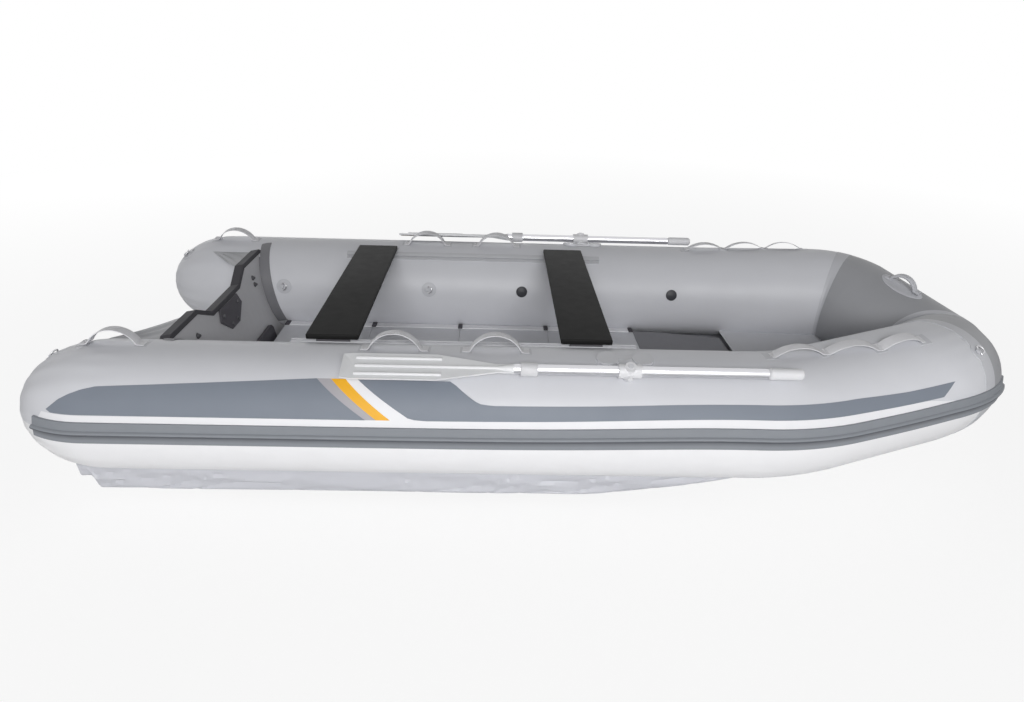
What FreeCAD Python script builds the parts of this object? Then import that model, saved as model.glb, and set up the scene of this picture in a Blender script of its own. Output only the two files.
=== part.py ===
import FreeCAD, Part
import math
import os

os.makedirs("parts", exist_ok=True)

# Inflatable boat: two air tubes with domed sterns that meet in a mitred bow,
# a plywood transom between them, a sectional aluminium floor and a fabric V
# bottom on a flattened keel. X runs forward from the stern tips, Y to port,
# Z up from the ground that the keel strip stands on. Millimetres.

Vec = FreeCAD.Vector
UP = Vec(0, 0, 1)
PORT, STARBOARD = 1, -1
SIDE_NAMES = {PORT: "port", STARBOARD: "starboard"}

# Air tubes: the centreline of each side bends inward, then turns to the nose.
tube_radius = 227.0
tube_half_spacing = 642.0
axis_height = 360.0
dome_length = 300.0
dome_middle_angle = 45.0
bend_from_stern = 2664.0
shoulder_from_stern = 3310.0
shoulder_half_spacing = 451.0
shoulder_rise = 65.0
nose_from_stern = 3630.0
nose_drop = 45.0
nose_radius = 190.0
bend_arc_radius = 900.0
shoulder_arc_radius = 330.0

# Glue line: the clearance between a part and the cloth that carries it. What
# is glued on starts below the skin by the bite and is trimmed to that clearance.
glue_gap = 0.3
skin_bite = 5.0
overrun = 40.0

# Rubbing strake: a flat rubber band with a half-round rib along its middle.
strake_width = 74.0
strake_thickness = 6.0
strake_rib_width = 18.0
strake_rib_height = 9.0
strake_above_axis = 16.0
strake_start = 122.0
strake_nose_spin = -16.0
strake_spin_limit_share = 1.4
strake_dome_rib_share = 0.7
strake_taper_steps = 6

# Fabric bottom and its keel strip.
bottom_thickness = 4.0
bottom_start = 520.0
bottom_end_before_nose = 60.0
keel_flat_half_width = 72.0
keel_strip_thickness = 6.0
keel_rise_start = 2250.0
bottom_belly = 24.0
bottom_seam_gap = 0.8
nose_keel_drop = 16.0
keel_rise_power = 1.8
keel_corner_share = 0.8
bottom_section_steps = 3

# Bilge keels: a shallow cloth bulge sewn under each side tube, with a stepped end.
bilge_keel_outboard = 48.0
bilge_keel_width = 54.0
bilge_keel_low = 38.0
bilge_keel_step_low = 90.0
bilge_keel_step_start = 158.0
bilge_keel_start = 188.0
bilge_keel_rise_start = 1900.0
bilge_keel_rise = 88.0
bilge_keel_rise_power = 1.6
bilge_keel_flare = 16.0
bilge_keel_top_share = 0.55
bilge_keel_steps = 4

# Transom board, leaning aft.
transom_at_axis = 496.0
transom_lean = 0.21
transom_thickness = 30.0
transom_shoulder_above_axis = 202.0
transom_notch_above_axis = 148.0
transom_shoulder_inner = 278.0
transom_notch_half_width = 160.0
transom_side_share = 0.45
transom_belly_share = 0.7
trim_width = 14.0
trim_overlap = 5.0

# Motor pads on both faces of the transom.
pad_half_width = 125.0
pad_foot_half_width = 44.0
pad_height = 108.0
pad_inner_thickness = 8.0
pad_outer_half_width = 135.0
pad_outer_height = 210.0
pad_outer_thickness = 12.0
pad_waist_share = 0.45
pad_top_share = 0.8
pad_outer_foot_share = 0.7

# Floor: aluminium panels between two side stringers, a dark bow board ahead.
floor_below_axis = 150.0
floor_panel_thickness = 26.0
floor_panel_count = 4
floor_start = 585.0
floor_panels_end = 2330.0
bow_board_end = 2760.0
bow_board_thickness = 16.0
bow_board_front_share = 0.86
floor_joint_gap = 1.0
stringer_width = 30.0
stringer_height = 40.0
stringer_wall = 4.0
stringer_clearance = 0.6

# Seat rails glued to the inner top of the tubes, and the two benches on them.
rail_angle = 32.0
rail_start = 900.0
rail_end = 2140.0
rail_base_width = 44.0
rail_base_thickness = 4.0
rail_neck_width = 9.0
rail_neck_height = 6.0
rail_head_width = 22.0
rail_head_thickness = 5.0
seat_width = 186.0
seat_thickness = 20.0
seat_end_inset = 97.0
seat_corner_radius = 5.0
seat_aft_at = 1050.0
seat_fore_at = 1957.0
shoe_wall = 6.0
shoe_running_gap = 1.0
shoe_length = 120.0
shoe_roof = 4.0

# Oars: aluminium shaft, ribbed blade, stop collar, rowlock sleeve and grip.
oar_angle = 29.5
oar_standoff = 36.0
rowlock_at = 2072.0
shaft_radius = 17.5
oar_aft_end = 1129.0
blade_shaft_joint = 1690.0
oar_stop_at = 1740.0
oar_stop_length = 55.0
oar_stop_radius = 24.0
grip_start = 2532.0
oar_fore_end = 2652.0
grip_radius = 20.0
grip_round = 8.0
blade_width = 112.0
blade_thickness = 8.0
blade_rib_width = 12.0
blade_tilt_share = 0.18
blade_shares = {"tip": 0.92, "corner": 0.06, "wide": 0.55, "narrow": 0.9,
                "rib_start": 0.08, "rib_length": 0.5, "rib_side": 0.62, "root": 0.16}
sleeve_length = 76.0
sleeve_radius = 24.0
sleeve_boss_radius = 19.0
sleeve_boss_height = 27.0
sleeve_knob_radius = 9.0
sleeve_knob_reach = 34.0
pin_radius = 6.0
pin_running_gap = 0.05
pin_head_radius = 9.0
pin_head_height = 4.0
rowlock_pad_angle = 9.0
rowlock_pad_length = 196.0
rowlock_pad_width = 74.0
rowlock_pad_thickness = 5.0
rowlock_lobe_thickness = 9.0
rowlock_bridge_width = 46.0
rowlock_boss_radius = 20.0
rowlock_step_gap = 0.5
rowlock_waist_share = 0.62

# Lifting straps: flat webbing arches between two glued feet.
strap_thickness = 3.0
strap_foot = 26.0
side_strap_width = 44.0
side_strap_span = 178.0
side_strap_height = 58.0
stern_strap_at = 332.0
stern_strap_span = 166.0
stern_strap_height = 50.0
mid_straps_at = (1283.0, 1631.0)
bow_strap_width = 40.0
bow_strap_height = 28.0
bow_strap_joints = (2597.0, 2803.0, 2989.0, 3165.0)
bow_strap_angles = (3.0, -2.5, -12.0, -14.0)
bow_foot_share = 0.5
bow_strap_lift = 2.0
strap_angle = 4.0

# Round fittings on the tubes.
valve_radius = 27.0
valve_cap_radius = 21.0
valve_height = 7.0
valve_cap_height = 5.0
valve_aft_at = 1759.0
valve_fore_at = 2499.0
fitting_angle = 76.0
ring_patch_radius = 36.0
ring_patch_thickness = 2.5
ring_loop_radius = 17.0
ring_wire_radius = 3.0
ring_saddle_width = 14.0
ring_saddle_height = 8.0
inner_ring_stations = (602.0, 1305.0)
stern_ring_at = 95.0
stern_ring_angle = 20.0
bow_ring_at = 3290.0
bow_ring_angle = -40.0

# Bow grip: a moulded arch on an oval patch, on the port bow tube only.
grip_patch_length = 200.0
grip_patch_width = 110.0
grip_patch_thickness = 3.0
bow_grip_span = 116.0
bow_grip_height = 42.0
bow_grip_width = 30.0
bow_grip_thickness = 12.0
bow_grip_share = 0.38
bow_grip_angle = 5.0

# Stern fittings: towing eyes, drain plug, dark strips and fabric gussets.
eye_spacing = 32.0
eye_rod_radius = 5.0
eye_to_tube = 80.0
eye_above_axis = 106.0
eye_reach = 38.0
eye_plate_thickness = 3.0
eye_plate_width = 26.0
drain_radius = 19.0
drain_length = 12.0
drain_offset = 200.0
drain_cap_radius = 11.0
drain_cap_length = 7.0
flange_strip_width = 48.0
flange_strip_thickness = 3.0
flange_side_share = 0.2
flange_top_drop = 12.0
foot_rail_inset = 96.0
foot_rail_above_floor = 38.0
foot_rail_below_floor = 42.0
foot_rail_thickness = 18.0
gusset_thickness = 3.0
gusset_reach = 250.0
gusset_side_share = 0.2


def unit(vector):
    copy = Vec(vector)
    copy.normalize()
    return copy


class Bend:
    """A circular arc that rounds the corner between two straight runs."""

    def __init__(self, before, corner, after, radius):
        self.direction_in = unit(corner - before)
        self.direction_out = unit(after - corner)
        self.angle = self.direction_in.getAngle(self.direction_out)
        reach = radius * math.tan(self.angle / 2)
        self.start = corner - self.direction_in * reach
        self.end = corner + self.direction_out * reach
        self.axis = unit(self.direction_in.cross(self.direction_out))
        self.inward = self.axis.cross(self.direction_in)
        self.centre = self.start + self.inward * radius
        self.radius = radius

    def point(self, angle):
        forward = self.direction_in * (self.radius * math.sin(angle))
        return self.centre - self.inward * (self.radius * math.cos(angle)) + forward

    def direction(self, angle):
        return self.direction_in * math.cos(angle) + self.inward * math.sin(angle)

    def angle_at(self, x):
        along = self.direction_in.x * self.radius
        across = self.inward.x * self.radius
        reach = math.hypot(along, across)
        return math.asin((x - self.centre.x) / reach) + math.atan2(across, along)


class Centreline:
    """The centreline of one side's air tube, from stern dome to nose."""

    def __init__(self, side):
        self.side = side
        y_side = side * tube_half_spacing
        self.stern = Vec(0, y_side, axis_height)
        self.dome_end = Vec(dome_length, y_side, axis_height)
        corner = Vec(bend_from_stern, y_side, axis_height)
        y_shoulder = side * shoulder_half_spacing
        shoulder = Vec(shoulder_from_stern, y_shoulder, axis_height + shoulder_rise)
        self.nose = Vec(nose_from_stern, 0, axis_height - nose_drop)
        self.bend = Bend(self.dome_end, corner, shoulder, bend_arc_radius)
        self.shoulder = Bend(corner, shoulder, self.nose, shoulder_arc_radius)

    def at(self, x):
        """Point and direction of the centreline at a distance from the stern."""
        bends = (self.bend, self.shoulder)
        for bend in bends:
            if bend.start.x <= x <= bend.end.x:
                angle = bend.angle_at(x)
                return bend.point(angle), bend.direction(angle)
        if x < self.bend.start.x:
            start, direction = self.stern, self.bend.direction_in
        elif x < self.shoulder.start.x:
            start, direction = self.bend.end, self.bend.direction_out
        else:
            start, direction = self.shoulder.end, self.shoulder.direction_out
        return start + direction * ((x - start.x) / direction.x), direction


class Seat:
    """A place on a tube's skin: its point, and along, across and out of it.

    The angle is in degrees from the tube's top, positive towards the cockpit.
    """

    def __init__(self, line, x, angle, radius=tube_radius):
        centre, self.along = line.at(x)
        inboard = unit(UP.cross(self.along)) * -line.side
        level_up = unit(self.along.cross(inboard)) * -line.side
        spin = math.radians(angle)
        self.out = level_up * math.cos(spin) + inboard * math.sin(spin)
        self.across = inboard * math.cos(spin) - level_up * math.sin(spin)
        self.centre = centre
        self.skin = centre + self.out * radius

    def point(self, along, across, out):
        return self.skin + self.along * along + self.across * across + self.out * out


LINES = {side: Centreline(side) for side in SIDE_NAMES}


def polygon_face(points):
    return Part.Face(Part.makePolygon(list(points) + [points[0]]))


def cylinder(radius, start, direction, length):
    return Part.makeCylinder(radius, length, start, direction)


def dome_and_side(line, grow):
    """Half-ellipse dome, straight side and the run up to the first bend."""
    radius = tube_radius + grow
    reach = dome_length + grow
    centre = line.dome_end
    rim = centre + UP * radius
    tip = centre - Vec(reach, 0, 0)
    ellipse = Part.Ellipse(centre, reach, radius)
    if reach > radius:
        ellipse = Part.Ellipse(tip, rim, centre)
    else:
        ellipse = Part.Ellipse(rim, tip, centre)
    half_way = math.radians(dome_middle_angle)
    shoulder_point = centre + Vec(-reach * math.sin(half_way), 0, radius * math.cos(half_way))
    first = ellipse.parameter(rim)
    last = ellipse.parameter(tip)
    middle = ellipse.parameter(shoulder_point)
    if not min(first, last) <= middle <= max(first, last):
        last += 2 * math.pi
    arc = Part.ArcOfEllipse(ellipse, min(first, last), max(first, last)).toShape()
    far_rim = Vec(line.bend.start.x, rim.y, rim.z)
    far_centre = Vec(line.bend.start.x, centre.y, centre.z)
    outline = Part.Wire(Part.__sortEdges__([
        arc, Part.makeLine(rim, far_rim), Part.makeLine(far_rim, far_centre),
        Part.makeLine(far_centre, tip)]))
    return Part.Face(outline).revolve(centre, Vec(1, 0, 0), 360)


def bend_piece(bend, first, last, radius):
    """Part of a tube's bend, between two angles of its arc."""
    ring = Part.Wire(Part.Circle(bend.point(first), bend.direction(first), radius).toShape())
    return Part.Face(ring).revolve(bend.centre, bend.axis, math.degrees(last - first))


def side_pieces(side, grow=0.0):
    """The side tube's runs and bends, from the dome to the shoulder's seam."""
    line = LINES[side]
    radius = tube_radius + grow
    bend, shoulder = line.bend, line.shoulder
    run = shoulder.start - bend.end
    return [
        dome_and_side(line, grow),
        bend_piece(bend, 0, bend.angle, radius),
        cylinder(radius, bend.end, bend.direction_out, run.Length),
        bend_piece(shoulder, 0, shoulder.angle / 2, radius)]


def bow_pieces(side, grow=0.0):
    """The second half of the shoulder, then a taper cut off at the nose's mitre."""
    line = LINES[side]
    radius = tube_radius + grow
    shoulder = line.shoulder
    run = line.nose - shoulder.end
    slope = (tube_radius - nose_radius) / run.Length
    length = run.Length + tube_radius + overrun
    taper = Part.makeCone(radius, radius - slope * length, length, shoulder.end,
                          shoulder.direction_out)
    half = bend_piece(shoulder, shoulder.angle / 2, shoulder.angle, radius)
    reach = nose_from_stern + length
    across = 2 * tube_half_spacing
    corner = Vec(0, 0 if side == STARBOARD else -across, -reach)
    return [half, taper.cut(Part.makeBox(reach, across, 2 * reach, corner))]


def joined(pieces):
    return pieces[0].multiFuse(pieces[1:]).removeSplitter()


def side_tube(side, grow=0.0):
    return joined(side_pieces(side, grow))


def bow_tube(side, grow=0.0):
    return joined(bow_pieces(side, grow))


TUBES = {side: side_tube(side) for side in SIDE_NAMES}
BOWS = {side: bow_tube(side) for side in SIDE_NAMES}
CLEAR_TUBES = {side: side_tube(side, glue_gap) for side in SIDE_NAMES}
CLEAR_BOWS = {side: bow_tube(side, glue_gap) for side in SIDE_NAMES}


def clear_of_tubes(shape):
    for side in SIDE_NAMES:
        shape = shape.cut(CLEAR_TUBES[side]).cut(CLEAR_BOWS[side])
    return shape


def trimmed(shape, side):
    """Cut a glued piece's underside so that it follows the tube's skin."""
    for piece in side_pieces(side, glue_gap):
        shape = shape.cut(piece)
    return shape


def strake_profile(centre, along, side, spin=0.0, shrink=0.0):
    """Cross-section of the strake in a plane square to the tube's centreline.

    A flat band with level edges hugs the tube, and a round rib stands on it.
    """
    inboard = unit(UP.cross(along)) * -side
    level_up = unit(along.cross(inboard)) * -side
    turn = math.radians(spin)
    outward = level_up * math.sin(turn) - inboard * math.cos(turn)
    upward = level_up * math.cos(turn) + inboard * math.sin(turn)
    inner = tube_radius + glue_gap - shrink
    outer = inner + strake_thickness

    def on(radius, height):
        reach = math.sqrt(radius ** 2 - height ** 2)
        return centre + outward * reach + upward * height

    low = strake_above_axis - strake_width / 2
    high = strake_above_axis + strake_width / 2
    rib_low = strake_above_axis - strake_rib_width / 2
    rib_high = strake_above_axis + strake_rib_width / 2
    middle = strake_above_axis
    edges = [
        Part.Arc(on(inner, low), on(inner, middle), on(inner, high)).toShape(),
        Part.makeLine(on(inner, high), on(outer, high)),
        Part.Arc(on(outer, high), on(outer, (high + rib_high) / 2), on(outer, rib_high)).toShape(),
        Part.Arc(on(outer, rib_high), on(outer + strake_rib_height, middle),
                 on(outer, rib_low)).toShape(),
        Part.Arc(on(outer, rib_low), on(outer, (low + rib_low) / 2), on(outer, low)).toShape(),
        Part.makeLine(on(outer, low), on(inner, low))]
    return Part.Wire(edges)


def strake_side(side):
    """The strake along the straight side and round the outside of the dome."""
    line = LINES[side]
    clear = dome_and_side(line, glue_gap)
    y_side = line.stern.y if side == PORT else line.stern.y - tube_half_spacing
    layers = []
    for grow, width in ((strake_thickness, strake_width),
                        (strake_thickness + strake_rib_height, strake_rib_width * strake_dome_rib_share)):
        slab = Part.makeBox(line.bend.start.x - strake_start, tube_half_spacing, width,
                            Vec(strake_start, y_side,
                                axis_height + strake_above_axis - width / 2))
        layers.append(dome_and_side(line, glue_gap + grow).common(slab).cut(clear))
    return joined(layers)


def strake_bow(side):
    """The strake from the first bend to the nose, where it meets its twin."""
    line = LINES[side]
    bend, shoulder = line.bend, line.shoulder
    pieces = []
    for turn in (bend, shoulder):
        face = Part.Face(strake_profile(turn.start, turn.direction_in, side))
        pieces.append(face.revolve(turn.centre, turn.axis, math.degrees(turn.angle)))
    face = Part.Face(strake_profile(bend.end, bend.direction_out, side))
    pieces.append(face.extrude(shoulder.start - bend.end))
    run = line.nose - shoulder.end
    length = run.Length + tube_radius + overrun
    slope = (tube_radius - nose_radius) / run.Length
    sections = []
    for step in range(strake_taper_steps + 1):
        reach = length * step / strake_taper_steps
        spin = strake_nose_spin * min(reach / run.Length, strake_spin_limit_share)
        sections.append(strake_profile(shoulder.end + shoulder.direction_out * reach,
                                       shoulder.direction_out, side, spin, slope * reach))
    taper = Part.makeLoft(sections, True, False)
    size = nose_from_stern + length
    corner = Vec(0, 0 if side == STARBOARD else -size, -size)
    pieces.append(taper.cut(Part.makeBox(size, size, 2 * size, corner)))
    return joined(pieces)


def rubbing_strake(side):
    return joined([strake_side(side), strake_bow(side)])


def keel_height(x):
    """Height of the fabric's keel line: level, then rising to the nose."""
    end = nose_from_stern - bottom_end_before_nose
    nose_low = axis_height - nose_drop - nose_radius - nose_keel_drop
    share = max(x - keel_rise_start, 0) / (end - keel_rise_start)
    return keel_strip_thickness + (nose_low - keel_strip_thickness) * share ** keel_rise_power


def bottom_section(x, keel_half_width):
    """One cross-section of the bottom skin: tube to keel flat to tube."""
    centre, direction = LINES[PORT].at(x)
    breadth = centre.y
    taper_start = LINES[PORT].shoulder.end.x
    share = max(x - taper_start, 0) / (nose_from_stern - taper_start)
    radius = tube_radius + (nose_radius - tube_radius) * share
    low = radius * math.hypot(direction.x, direction.z) / direction.x
    edge_z = centre.z - low - bottom_seam_gap - bottom_thickness
    keel_z = min(keel_height(x), edge_z - bottom_thickness)
    half = min(keel_half_width, breadth / 2)
    middle_y = (breadth + half) / 2
    middle_z = (edge_z + keel_z) / 2 - bottom_belly * (breadth - half) / tube_half_spacing
    lift = bottom_thickness

    def side_arc(sign, rise):
        return Part.Arc(Vec(x, sign * breadth, edge_z + rise),
                        Vec(x, sign * middle_y, middle_z + rise),
                        Vec(x, sign * half, keel_z + rise)).toShape()

    def flat(rise):
        return Part.makeLine(Vec(x, half, keel_z + rise), Vec(x, -half, keel_z + rise))

    def wall(sign):
        return Part.makeLine(Vec(x, sign * breadth, edge_z),
                             Vec(x, sign * breadth, edge_z + lift))

    edges = [side_arc(1, 0), flat(0), side_arc(-1, 0), wall(-1), side_arc(-1, lift),
             flat(lift), side_arc(1, lift), wall(1)]
    return Part.Wire(Part.__sortEdges__(edges))


def fabric_bottom():
    end = nose_from_stern - bottom_end_before_nose
    bend, shoulder = LINES[PORT].bend, LINES[PORT].shoulder
    corners = [bend.start.x, bend.end.x, shoulder.start.x, shoulder.end.x, end]
    stations = [bottom_start, keel_rise_start, corners[0]]
    for start, stop in zip(corners, corners[1:]):
        stations += [start + (stop - start) * step / bottom_section_steps
                     for step in range(1, bottom_section_steps + 1)]
    sections = [bottom_section(x, keel_flat_half_width) for x in stations]
    return Part.makeLoft(sections, True, True)


def keel_strip():
    start = bottom_start + overrun
    width = 2 * keel_flat_half_width
    box = Part.makeBox(keel_rise_start - start, width, keel_strip_thickness - glue_gap,
                       Vec(start, -keel_flat_half_width, 0))
    upright = [edge for edge in box.Edges
               if abs(edge.Vertexes[0].Z - edge.Vertexes[-1].Z) > keel_strip_thickness / 2]
    return box.makeFillet(keel_flat_half_width * keel_corner_share, upright)


def bilge_keel_section(side, x, low):
    """Cross-section of a bilge keel: flared sides down to a round bottom."""
    middle, half = side * (tube_half_spacing + bilge_keel_outboard), bilge_keel_width / 2
    top = axis_height - tube_radius * bilge_keel_top_share
    wide = half + bilge_keel_flare

    def at(across, z):
        return Vec(x, middle + side * across, z)

    edges = [Part.makeLine(at(-half, top), at(-half, low + half)),
             Part.Arc(at(-half, low + half), at(0, low), at(half, low + half)).toShape(),
             Part.makeLine(at(half, low + half), at(wide, top)),
             Part.makeLine(at(wide, top), at(-half, top))]
    return Part.Wire(edges)


def bilge_keel(side):
    """Cloth bulge under a side tube: a stepped end, a long level run and a rise."""
    step = Part.Face(bilge_keel_section(side, bilge_keel_step_start, bilge_keel_step_low))
    run = Part.Face(bilge_keel_section(side, bilge_keel_start, bilge_keel_low))
    pieces = [step.extrude(Vec(bilge_keel_start - bilge_keel_step_start + overrun, 0, 0)),
              run.extrude(Vec(bilge_keel_rise_start - bilge_keel_start, 0, 0))]
    line = LINES[side]
    length = line.bend.start.x - bilge_keel_rise_start
    sections = []
    for count in range(bilge_keel_steps + 1):
        share = count / bilge_keel_steps
        low = bilge_keel_low + bilge_keel_rise * share ** bilge_keel_rise_power
        sections.append(bilge_keel_section(side, bilge_keel_rise_start + length * share, low))
    pieces.append(Part.makeLoft(sections, True, True))
    return joined(pieces).cut(dome_and_side(line, glue_gap))


def transom_x(height):
    """Middle plane of the leaning transom at a height above the tube axis."""
    return transom_at_axis - transom_lean * height


def transom_slab(outline, back, front):
    """A flat plate in the transom's plane, from outline points (y, above axis)."""
    tilt = math.atan(transom_lean)
    normal = Vec(math.cos(tilt), 0, math.sin(tilt))
    points = [Vec(transom_x(z), y, axis_height + z) + normal * back for y, z in outline]
    return polygon_face(points).extrude(normal * (front - back))


def transom_top():
    """Top edge of the transom from port to starboard, above the tube axis."""
    wide = tube_half_spacing - tube_radius * transom_side_share
    high, low = transom_shoulder_above_axis, transom_notch_above_axis
    half = [(wide, high - trim_width), (wide - trim_width * 2, high),
            (transom_shoulder_inner, high), (transom_notch_half_width, low)]
    return half + [(-y, z) for y, z in reversed(half)]


def transom_foot():
    """Lower edge of the transom, from starboard to port, along the V bottom."""
    keel = keel_strip_thickness + 2 * bottom_thickness - axis_height
    edge = bottom_thickness - tube_radius
    breadth = tube_half_spacing
    half = keel_flat_half_width
    middle = ((breadth + half) / 2, (edge + keel) / 2 - bottom_belly * transom_belly_share)
    right = [(-breadth, edge), (-middle[0], middle[1]), (-half, keel)]
    return right + [(-y, z) for y, z in reversed(right)]


def transom():
    half = transom_thickness / 2
    board = transom_slab(transom_top() + transom_foot(), -half, half)
    return clear_of_tubes(board)


def transom_trim():
    """A dark rubber channel pushed over the transom's top edge."""
    outer_half = transom_thickness / 2 + trim_overlap
    top = transom_top()
    raised = [(y, z + trim_overlap) for y, z in top]
    lowered = [(y, z - trim_width) for y, z in reversed(top)]
    block = transom_slab(raised + lowered, -outer_half, outer_half)
    board_gap = transom_thickness / 2 + glue_gap
    core_top = [(y, z + glue_gap) for y, z in top]
    core_low = [(y, z - 2 * trim_width) for y, z in reversed(top)]
    core = transom_slab(core_top + core_low, -board_gap, board_gap)
    return clear_of_tubes(block.cut(core))


def motor_pad(half_width, foot_half_width, height, back, front):
    top = transom_notch_above_axis - trim_width - glue_gap
    foot = top - height
    waist = top - height * pad_waist_share
    outline = [(half_width * pad_top_share, top), (half_width, waist), (foot_half_width, foot),
               (-foot_half_width, foot), (-half_width, waist), (-half_width * pad_top_share, top)]
    return transom_slab(outline, back, front)


def inner_motor_pad():
    start = transom_thickness / 2 + glue_gap
    return motor_pad(pad_half_width, pad_foot_half_width, pad_height, start,
                     start + pad_inner_thickness)


def outer_motor_pad():
    start = -transom_thickness / 2 - glue_gap
    return motor_pad(pad_outer_half_width, pad_outer_half_width * pad_outer_foot_share, pad_outer_height,
                     start - pad_outer_thickness, start)


def towing_eyes():
    """Two square U-bolts through the transom, each with its plate."""
    tilt = math.atan(transom_lean)
    normal = Vec(math.cos(tilt), 0, math.sin(tilt))
    in_plane = Vec(-math.sin(tilt), 0, math.cos(tilt))
    across = normal.cross(in_plane)
    half, plate_half = eye_spacing / 2, eye_plate_width / 2
    from_middle = tube_half_spacing - tube_radius - eye_to_tube
    eyes = []
    for side in SIDE_NAMES:
        middle = Vec(transom_x(eye_above_axis), side * from_middle,
                     axis_height + eye_above_axis)
        face = middle - normal * (transom_thickness / 2 + glue_gap)
        legs = [cylinder(eye_rod_radius, face + in_plane * sign * half, -normal, eye_reach)
                for sign in (1, -1)]
        low_end = face - normal * (eye_reach - eye_rod_radius)
        low_end -= in_plane * (half + eye_rod_radius)
        bar = cylinder(eye_rod_radius, low_end, in_plane, eye_spacing + 2 * eye_rod_radius)
        plate = Part.makeBox(eye_plate_width, eye_spacing + eye_plate_width,
                             eye_plate_thickness, Vec(-plate_half, -half - plate_half, 0))
        plate.Placement = FreeCAD.Placement(face - normal * eye_plate_thickness,
                                            FreeCAD.Rotation(across, in_plane, normal))
        eyes.append(joined(legs + [bar, plate]))
    return Part.makeCompound(eyes)


def drain_plug():
    """Self-bailer plug low in the transom, seen from astern."""
    tilt = math.atan(transom_lean)
    normal = Vec(math.cos(tilt), 0, math.sin(tilt))
    height = -floor_below_axis - floor_panel_thickness - 2 * drain_radius
    middle = Vec(transom_x(height), drain_offset, axis_height + height)
    face = middle - normal * (transom_thickness / 2 + glue_gap)
    body = cylinder(drain_radius, face, -normal, drain_length)
    cap = cylinder(drain_cap_radius, face, -normal, drain_length + drain_cap_length)
    return body.fuse(cap)


def flange_strip(side):
    """Dark cloth strip that binds the transom's side to the tube's inner face."""
    line = LINES[side]
    start = line.dome_end + Vec(overrun, 0, 0)
    length = rail_start - start.x
    inner = cylinder(tube_radius + glue_gap, start, Vec(1, 0, 0), length)
    outer = cylinder(tube_radius + glue_gap + flange_strip_thickness, start, Vec(1, 0, 0), length)
    low = -floor_below_axis + glue_gap
    middle = transom_shoulder_above_axis - 2 * trim_width - glue_gap
    high = transom_shoulder_above_axis + flange_top_drop
    near = transom_thickness / 2 + glue_gap
    past_trim = near + trim_overlap
    wide = tube_half_spacing - tube_radius * flange_side_share
    narrow = tube_half_spacing - tube_radius - flange_strip_width
    lower = [(side * narrow, low), (side * wide, low), (side * wide, middle),
             (side * narrow, middle)]
    upper = [(side * narrow, middle), (side * wide, middle), (side * wide, high - trim_width),
             (side * (wide - trim_width), high), (side * narrow, high)]
    far = near + flange_strip_width
    block = transom_slab(lower, near, far).fuse(transom_slab(upper, past_trim, far))
    return block.common(outer.cut(inner)).removeSplitter()


def panel_half_width():
    """Half the panels' width, which the stringers leave between the tubes."""
    top_reach = math.sqrt(tube_radius ** 2 - (floor_below_axis - stringer_wall) ** 2)
    return tube_half_spacing - top_reach - stringer_clearance - stringer_width


def floor_panel(index):
    """One aluminium floor panel: a ribbed deck with a rolled lip at each end."""
    pitch = (floor_panels_end - floor_start) / floor_panel_count
    start = floor_start + pitch * index
    length = pitch - floor_joint_gap
    half = panel_half_width()
    top = axis_height - floor_below_axis
    return Part.makeBox(length, 2 * half, floor_panel_thickness,
                        Vec(start, -half, top - floor_panel_thickness))


def bow_board():
    """Dark board ahead of the panels, narrowing with the tubes."""
    top = axis_height - floor_below_axis
    start = floor_panels_end
    half = panel_half_width()
    straight = bend_from_stern - tube_radius
    front = half * bow_board_front_share
    plan = [Vec(start, half, top), Vec(straight, half, top), Vec(bow_board_end, front, top),
            Vec(bow_board_end, -front, top), Vec(straight, -half, top), Vec(start, -half, top)]
    return polygon_face(plan).extrude(UP * -bow_board_thickness)


def stringer(side):
    """Channel that clips over the panel ends along one side of the floor."""
    half = panel_half_width()
    top = axis_height - floor_below_axis + stringer_wall + glue_gap
    low = top - stringer_height
    inner = half + glue_gap
    outer = inner + stringer_width - 2 * glue_gap
    lip = half - stringer_width / 2
    under = top - stringer_wall
    points = [(lip, top), (outer, top), (outer, low), (inner, low), (inner, under), (lip, under)]
    face = polygon_face([Vec(floor_start, side * y, z) for y, z in points])
    return face.extrude(Vec(floor_panels_end - floor_start, 0, 0))


def transom_foot_rail():
    """Dark rail along the transom's foot, which the floor's aft end meets."""
    half = panel_half_width() - foot_rail_inset
    low, high = -floor_below_axis - foot_rail_below_floor, -floor_below_axis + foot_rail_above_floor
    near = transom_thickness / 2 + glue_gap
    corner = foot_rail_above_floor / 2
    outline = [(-half, low), (half, low), (half, high - corner), (half - corner, high),
               (corner - half, high), (-half, high - corner)]
    return transom_slab(outline, near, near + foot_rail_thickness)


def gusset(side):
    """Fabric web from the transom's shoulder aft to the tube's inner top."""
    top = transom_shoulder_above_axis - trim_width
    rear = transom_thickness / 2 + trim_overlap + glue_gap
    tilt = math.atan(transom_lean)
    edge_x = transom_x(top + gusset_thickness) - rear / math.cos(tilt)
    z = axis_height + top
    wide = tube_half_spacing - tube_radius * gusset_side_share
    narrow = transom_shoulder_inner + trim_width
    points = [Vec(edge_x, side * narrow, z), Vec(edge_x, side * wide, z),
              Vec(edge_x - gusset_reach, side * wide, z)]
    web = polygon_face(points).extrude(UP * gusset_thickness)
    return clear_of_tubes(web)


def rail_seat(side):
    return Seat(LINES[side], rail_start, rail_angle)


def prism(seat, points, length, offset=0.0):
    """Extrude an outline of (across, out) points along the tube."""
    face = polygon_face([seat.point(offset, across, out) for across, out in points])
    return face.extrude(seat.along * length)


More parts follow.
